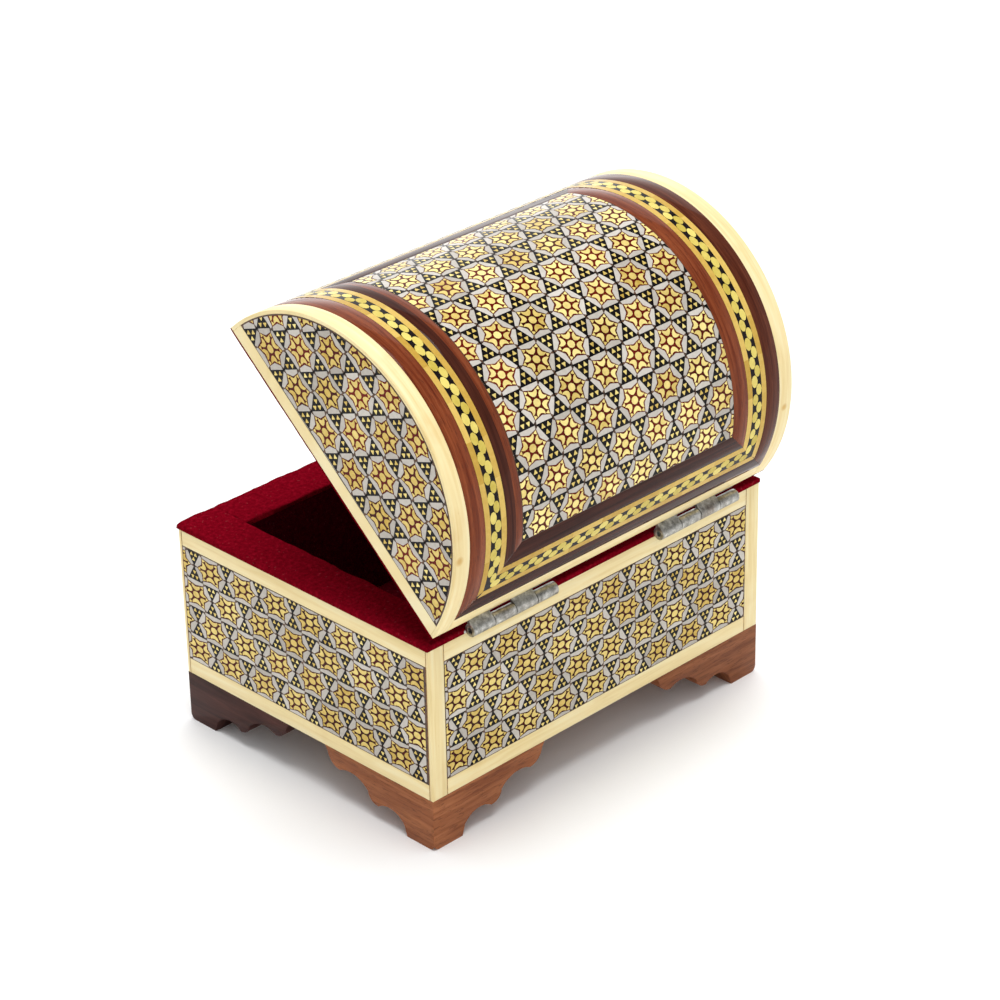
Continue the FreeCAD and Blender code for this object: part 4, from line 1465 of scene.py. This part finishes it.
class INLAIDBOX_OT_stage(bpy.types.Operator):
    """Set the floor, the soft light and the camera"""

    bl_idname = "inlaid_box.stage"
    bl_label = "Stage"

    def execute(self, context):
        settings = context.scene.stage_settings
        right, up, back = self.camera_axes(settings)
        self.floor(settings)
        self.light(context, settings, right, back)
        self.camera(context, settings, right, up, back)
        context.scene.view_settings.view_transform = "Standard"
        return {"FINISHED"}

    def camera_axes(self, settings):
        """The camera's right, up and backward directions."""
        azimuth, elevation, roll = settings.azimuth, settings.elevation, settings.roll
        level_x, level_y = math.sin(azimuth), -math.cos(azimuth)
        flat = math.cos(elevation)
        back = Vector((level_x * flat, level_y * flat, math.sin(elevation)))
        level = Vector((math.cos(azimuth), math.sin(azimuth), 0))
        above = back.cross(level)
        right = math.cos(roll) * level + math.sin(roll) * above
        return right, back.cross(right), back

    def floor(self, settings):
        """A plain white floor that keeps the box's shadow."""
        shape = bmesh.new()
        bmesh.ops.create_grid(shape, x_segments=1, y_segments=1, size=settings.floor_size / 2)
        mesh = new_mesh(shape, "floor")
        material, graph, shader = new_material("floor")
        patches = graph.group(mottle_group(), object_place(graph))
        colour = graph.ramp(patches["Coarse"], (0.0, grey(0.95)), (1.0, grey(0.97)))
        set_shader(graph, shader, Base_Color=colour, Roughness=0.9, Specular_IOR_Level=0.0)
        mesh.materials.append(material)
        plane = bpy.data.objects.new("floor", mesh)
        bpy.context.scene.collection.objects.link(plane)

    def light(self, context, settings, right, back):
        """Even light from the sky, and soft lamps overhead, near the camera and on the far side."""
        world = bpy.data.worlds.new("sky")
        context.scene.world = world
        world.use_nodes = True
        world.node_tree.nodes.clear()
        graph = Graph(world.node_tree)
        path = graph.add("LightPath").outputs
        direction = graph.add("TexCoord").outputs["Generated"]
        height = graph.add("SeparateXYZ", {"Vector": direction}).outputs["Z"]
        ceiling = graph.ramp(height, (WHITE_BELOW, grey(1)), (DIM_ABOVE, grey(settings.zenith)))
        mirrored = graph.math("MAXIMUM", path["Is Glossy Ray"], path["Is Transmission Ray"])
        colour = graph.mixed(mirrored, grey(settings.sky), ceiling)
        colour = graph.mixed(path["Is Camera Ray"], colour, grey(1))
        sky = graph.add("Background", {"Color": colour, "Strength": 1.0})
        graph.add("OutputWorld", {"Surface": sky.outputs["Background"]})
        overhead = UP + OVERHEAD_LEAN * right
        over_camera = back + FILL_LEAN * right + FILL_LEAN * UP
        far_side = Vector((-back.x, -back.y, FAR_SIDE_RISE))
        lamps = (
            ("soft_lamp", settings.sun, overhead, settings.sun_spread),
            ("fill_lamp", settings.fill, over_camera, settings.sun_spread),
            ("back_lamp", settings.behind, far_side, settings.back_spread),
        )
        for name, strength, towards, spread in lamps:
            lamp = bpy.data.lights.new(name, "SUN")
            lamp.energy = strength
            lamp.angle = spread
            soft = bpy.data.objects.new(name, lamp)
            soft.rotation_euler = towards.to_track_quat("Z", "Y").to_euler()
            context.scene.collection.objects.link(soft)

    def camera(self, context, settings, right, up, back):
        """The photograph's own view."""
        lens = bpy.data.cameras.new("camera")
        lens.sensor_width = SENSOR_WIDTH
        lens.lens = settings.lens
        lens.clip_start = NEAREST
        camera = bpy.data.objects.new("camera", lens)
        target = Vector((0, 0, settings.target_height)) + right * settings.aside + up * settings.above
        turned = Matrix((right, up, back)).transposed().to_4x4()
        camera.matrix_world = Matrix.Translation(target + back * settings.distance) @ turned
        context.scene.collection.objects.link(camera)
        context.scene.camera = camera


class INLAIDBOX_PT_panel(bpy.types.Panel):
    """The steps that dress the box, in order"""

    bl_idname = "INLAIDBOX_PT_panel"
    bl_label = "Inlaid box"
    bl_space_type = "VIEW_3D"
    bl_region_type = "UI"
    bl_category = "Inlaid box"

    def draw(self, context):
        for step in STEPS:
            self.layout.operator(step.bl_idname)


STEPS = (
    INLAIDBOX_OT_carcase,
    INLAIDBOX_OT_bone,
    INLAIDBOX_OT_glue_lines,
    INLAIDBOX_OT_rosewood,
    INLAIDBOX_OT_feet,
    INLAIDBOX_OT_khatam,
    INLAIDBOX_OT_chain,
    INLAIDBOX_OT_velvet,
    INLAIDBOX_OT_hinges,
    INLAIDBOX_OT_stage,
)
SETTINGS = {
    "khatam_settings": KhatamSettings, "chain_settings": ChainSettings, "easing_settings": EasingSettings,
    "velvet_settings": VelvetSettings, "stage_settings": StageSettings,
}


def register():
    """Adds the settings, the operators and the panel to Blender."""
    for name, group in SETTINGS.items():
        bpy.utils.register_class(group)
        setattr(bpy.types.Scene, name, PointerProperty(type=group))
    for step in STEPS:
        bpy.utils.register_class(step)
    bpy.utils.register_class(INLAIDBOX_PT_panel)


def unregister():
    """Takes them out again."""
    bpy.utils.unregister_class(INLAIDBOX_PT_panel)
    for step in reversed(STEPS):
        bpy.utils.unregister_class(step)
    for name, group in SETTINGS.items():
        delattr(bpy.types.Scene, name)
        bpy.utils.unregister_class(group)


def main():
    """Runs every step in order."""
    register()
    bpy.ops.inlaid_box.carcase()
    bpy.ops.inlaid_box.bone()
    bpy.ops.inlaid_box.glue_lines()
    bpy.ops.inlaid_box.rosewood()
    bpy.ops.inlaid_box.feet()
    bpy.ops.inlaid_box.khatam()
    bpy.ops.inlaid_box.chain()
    bpy.ops.inlaid_box.velvet()
    bpy.ops.inlaid_box.hinges()
    bpy.ops.inlaid_box.stage()
    bpy.context.view_layer.update()


if __name__ == "__main__":
    main()
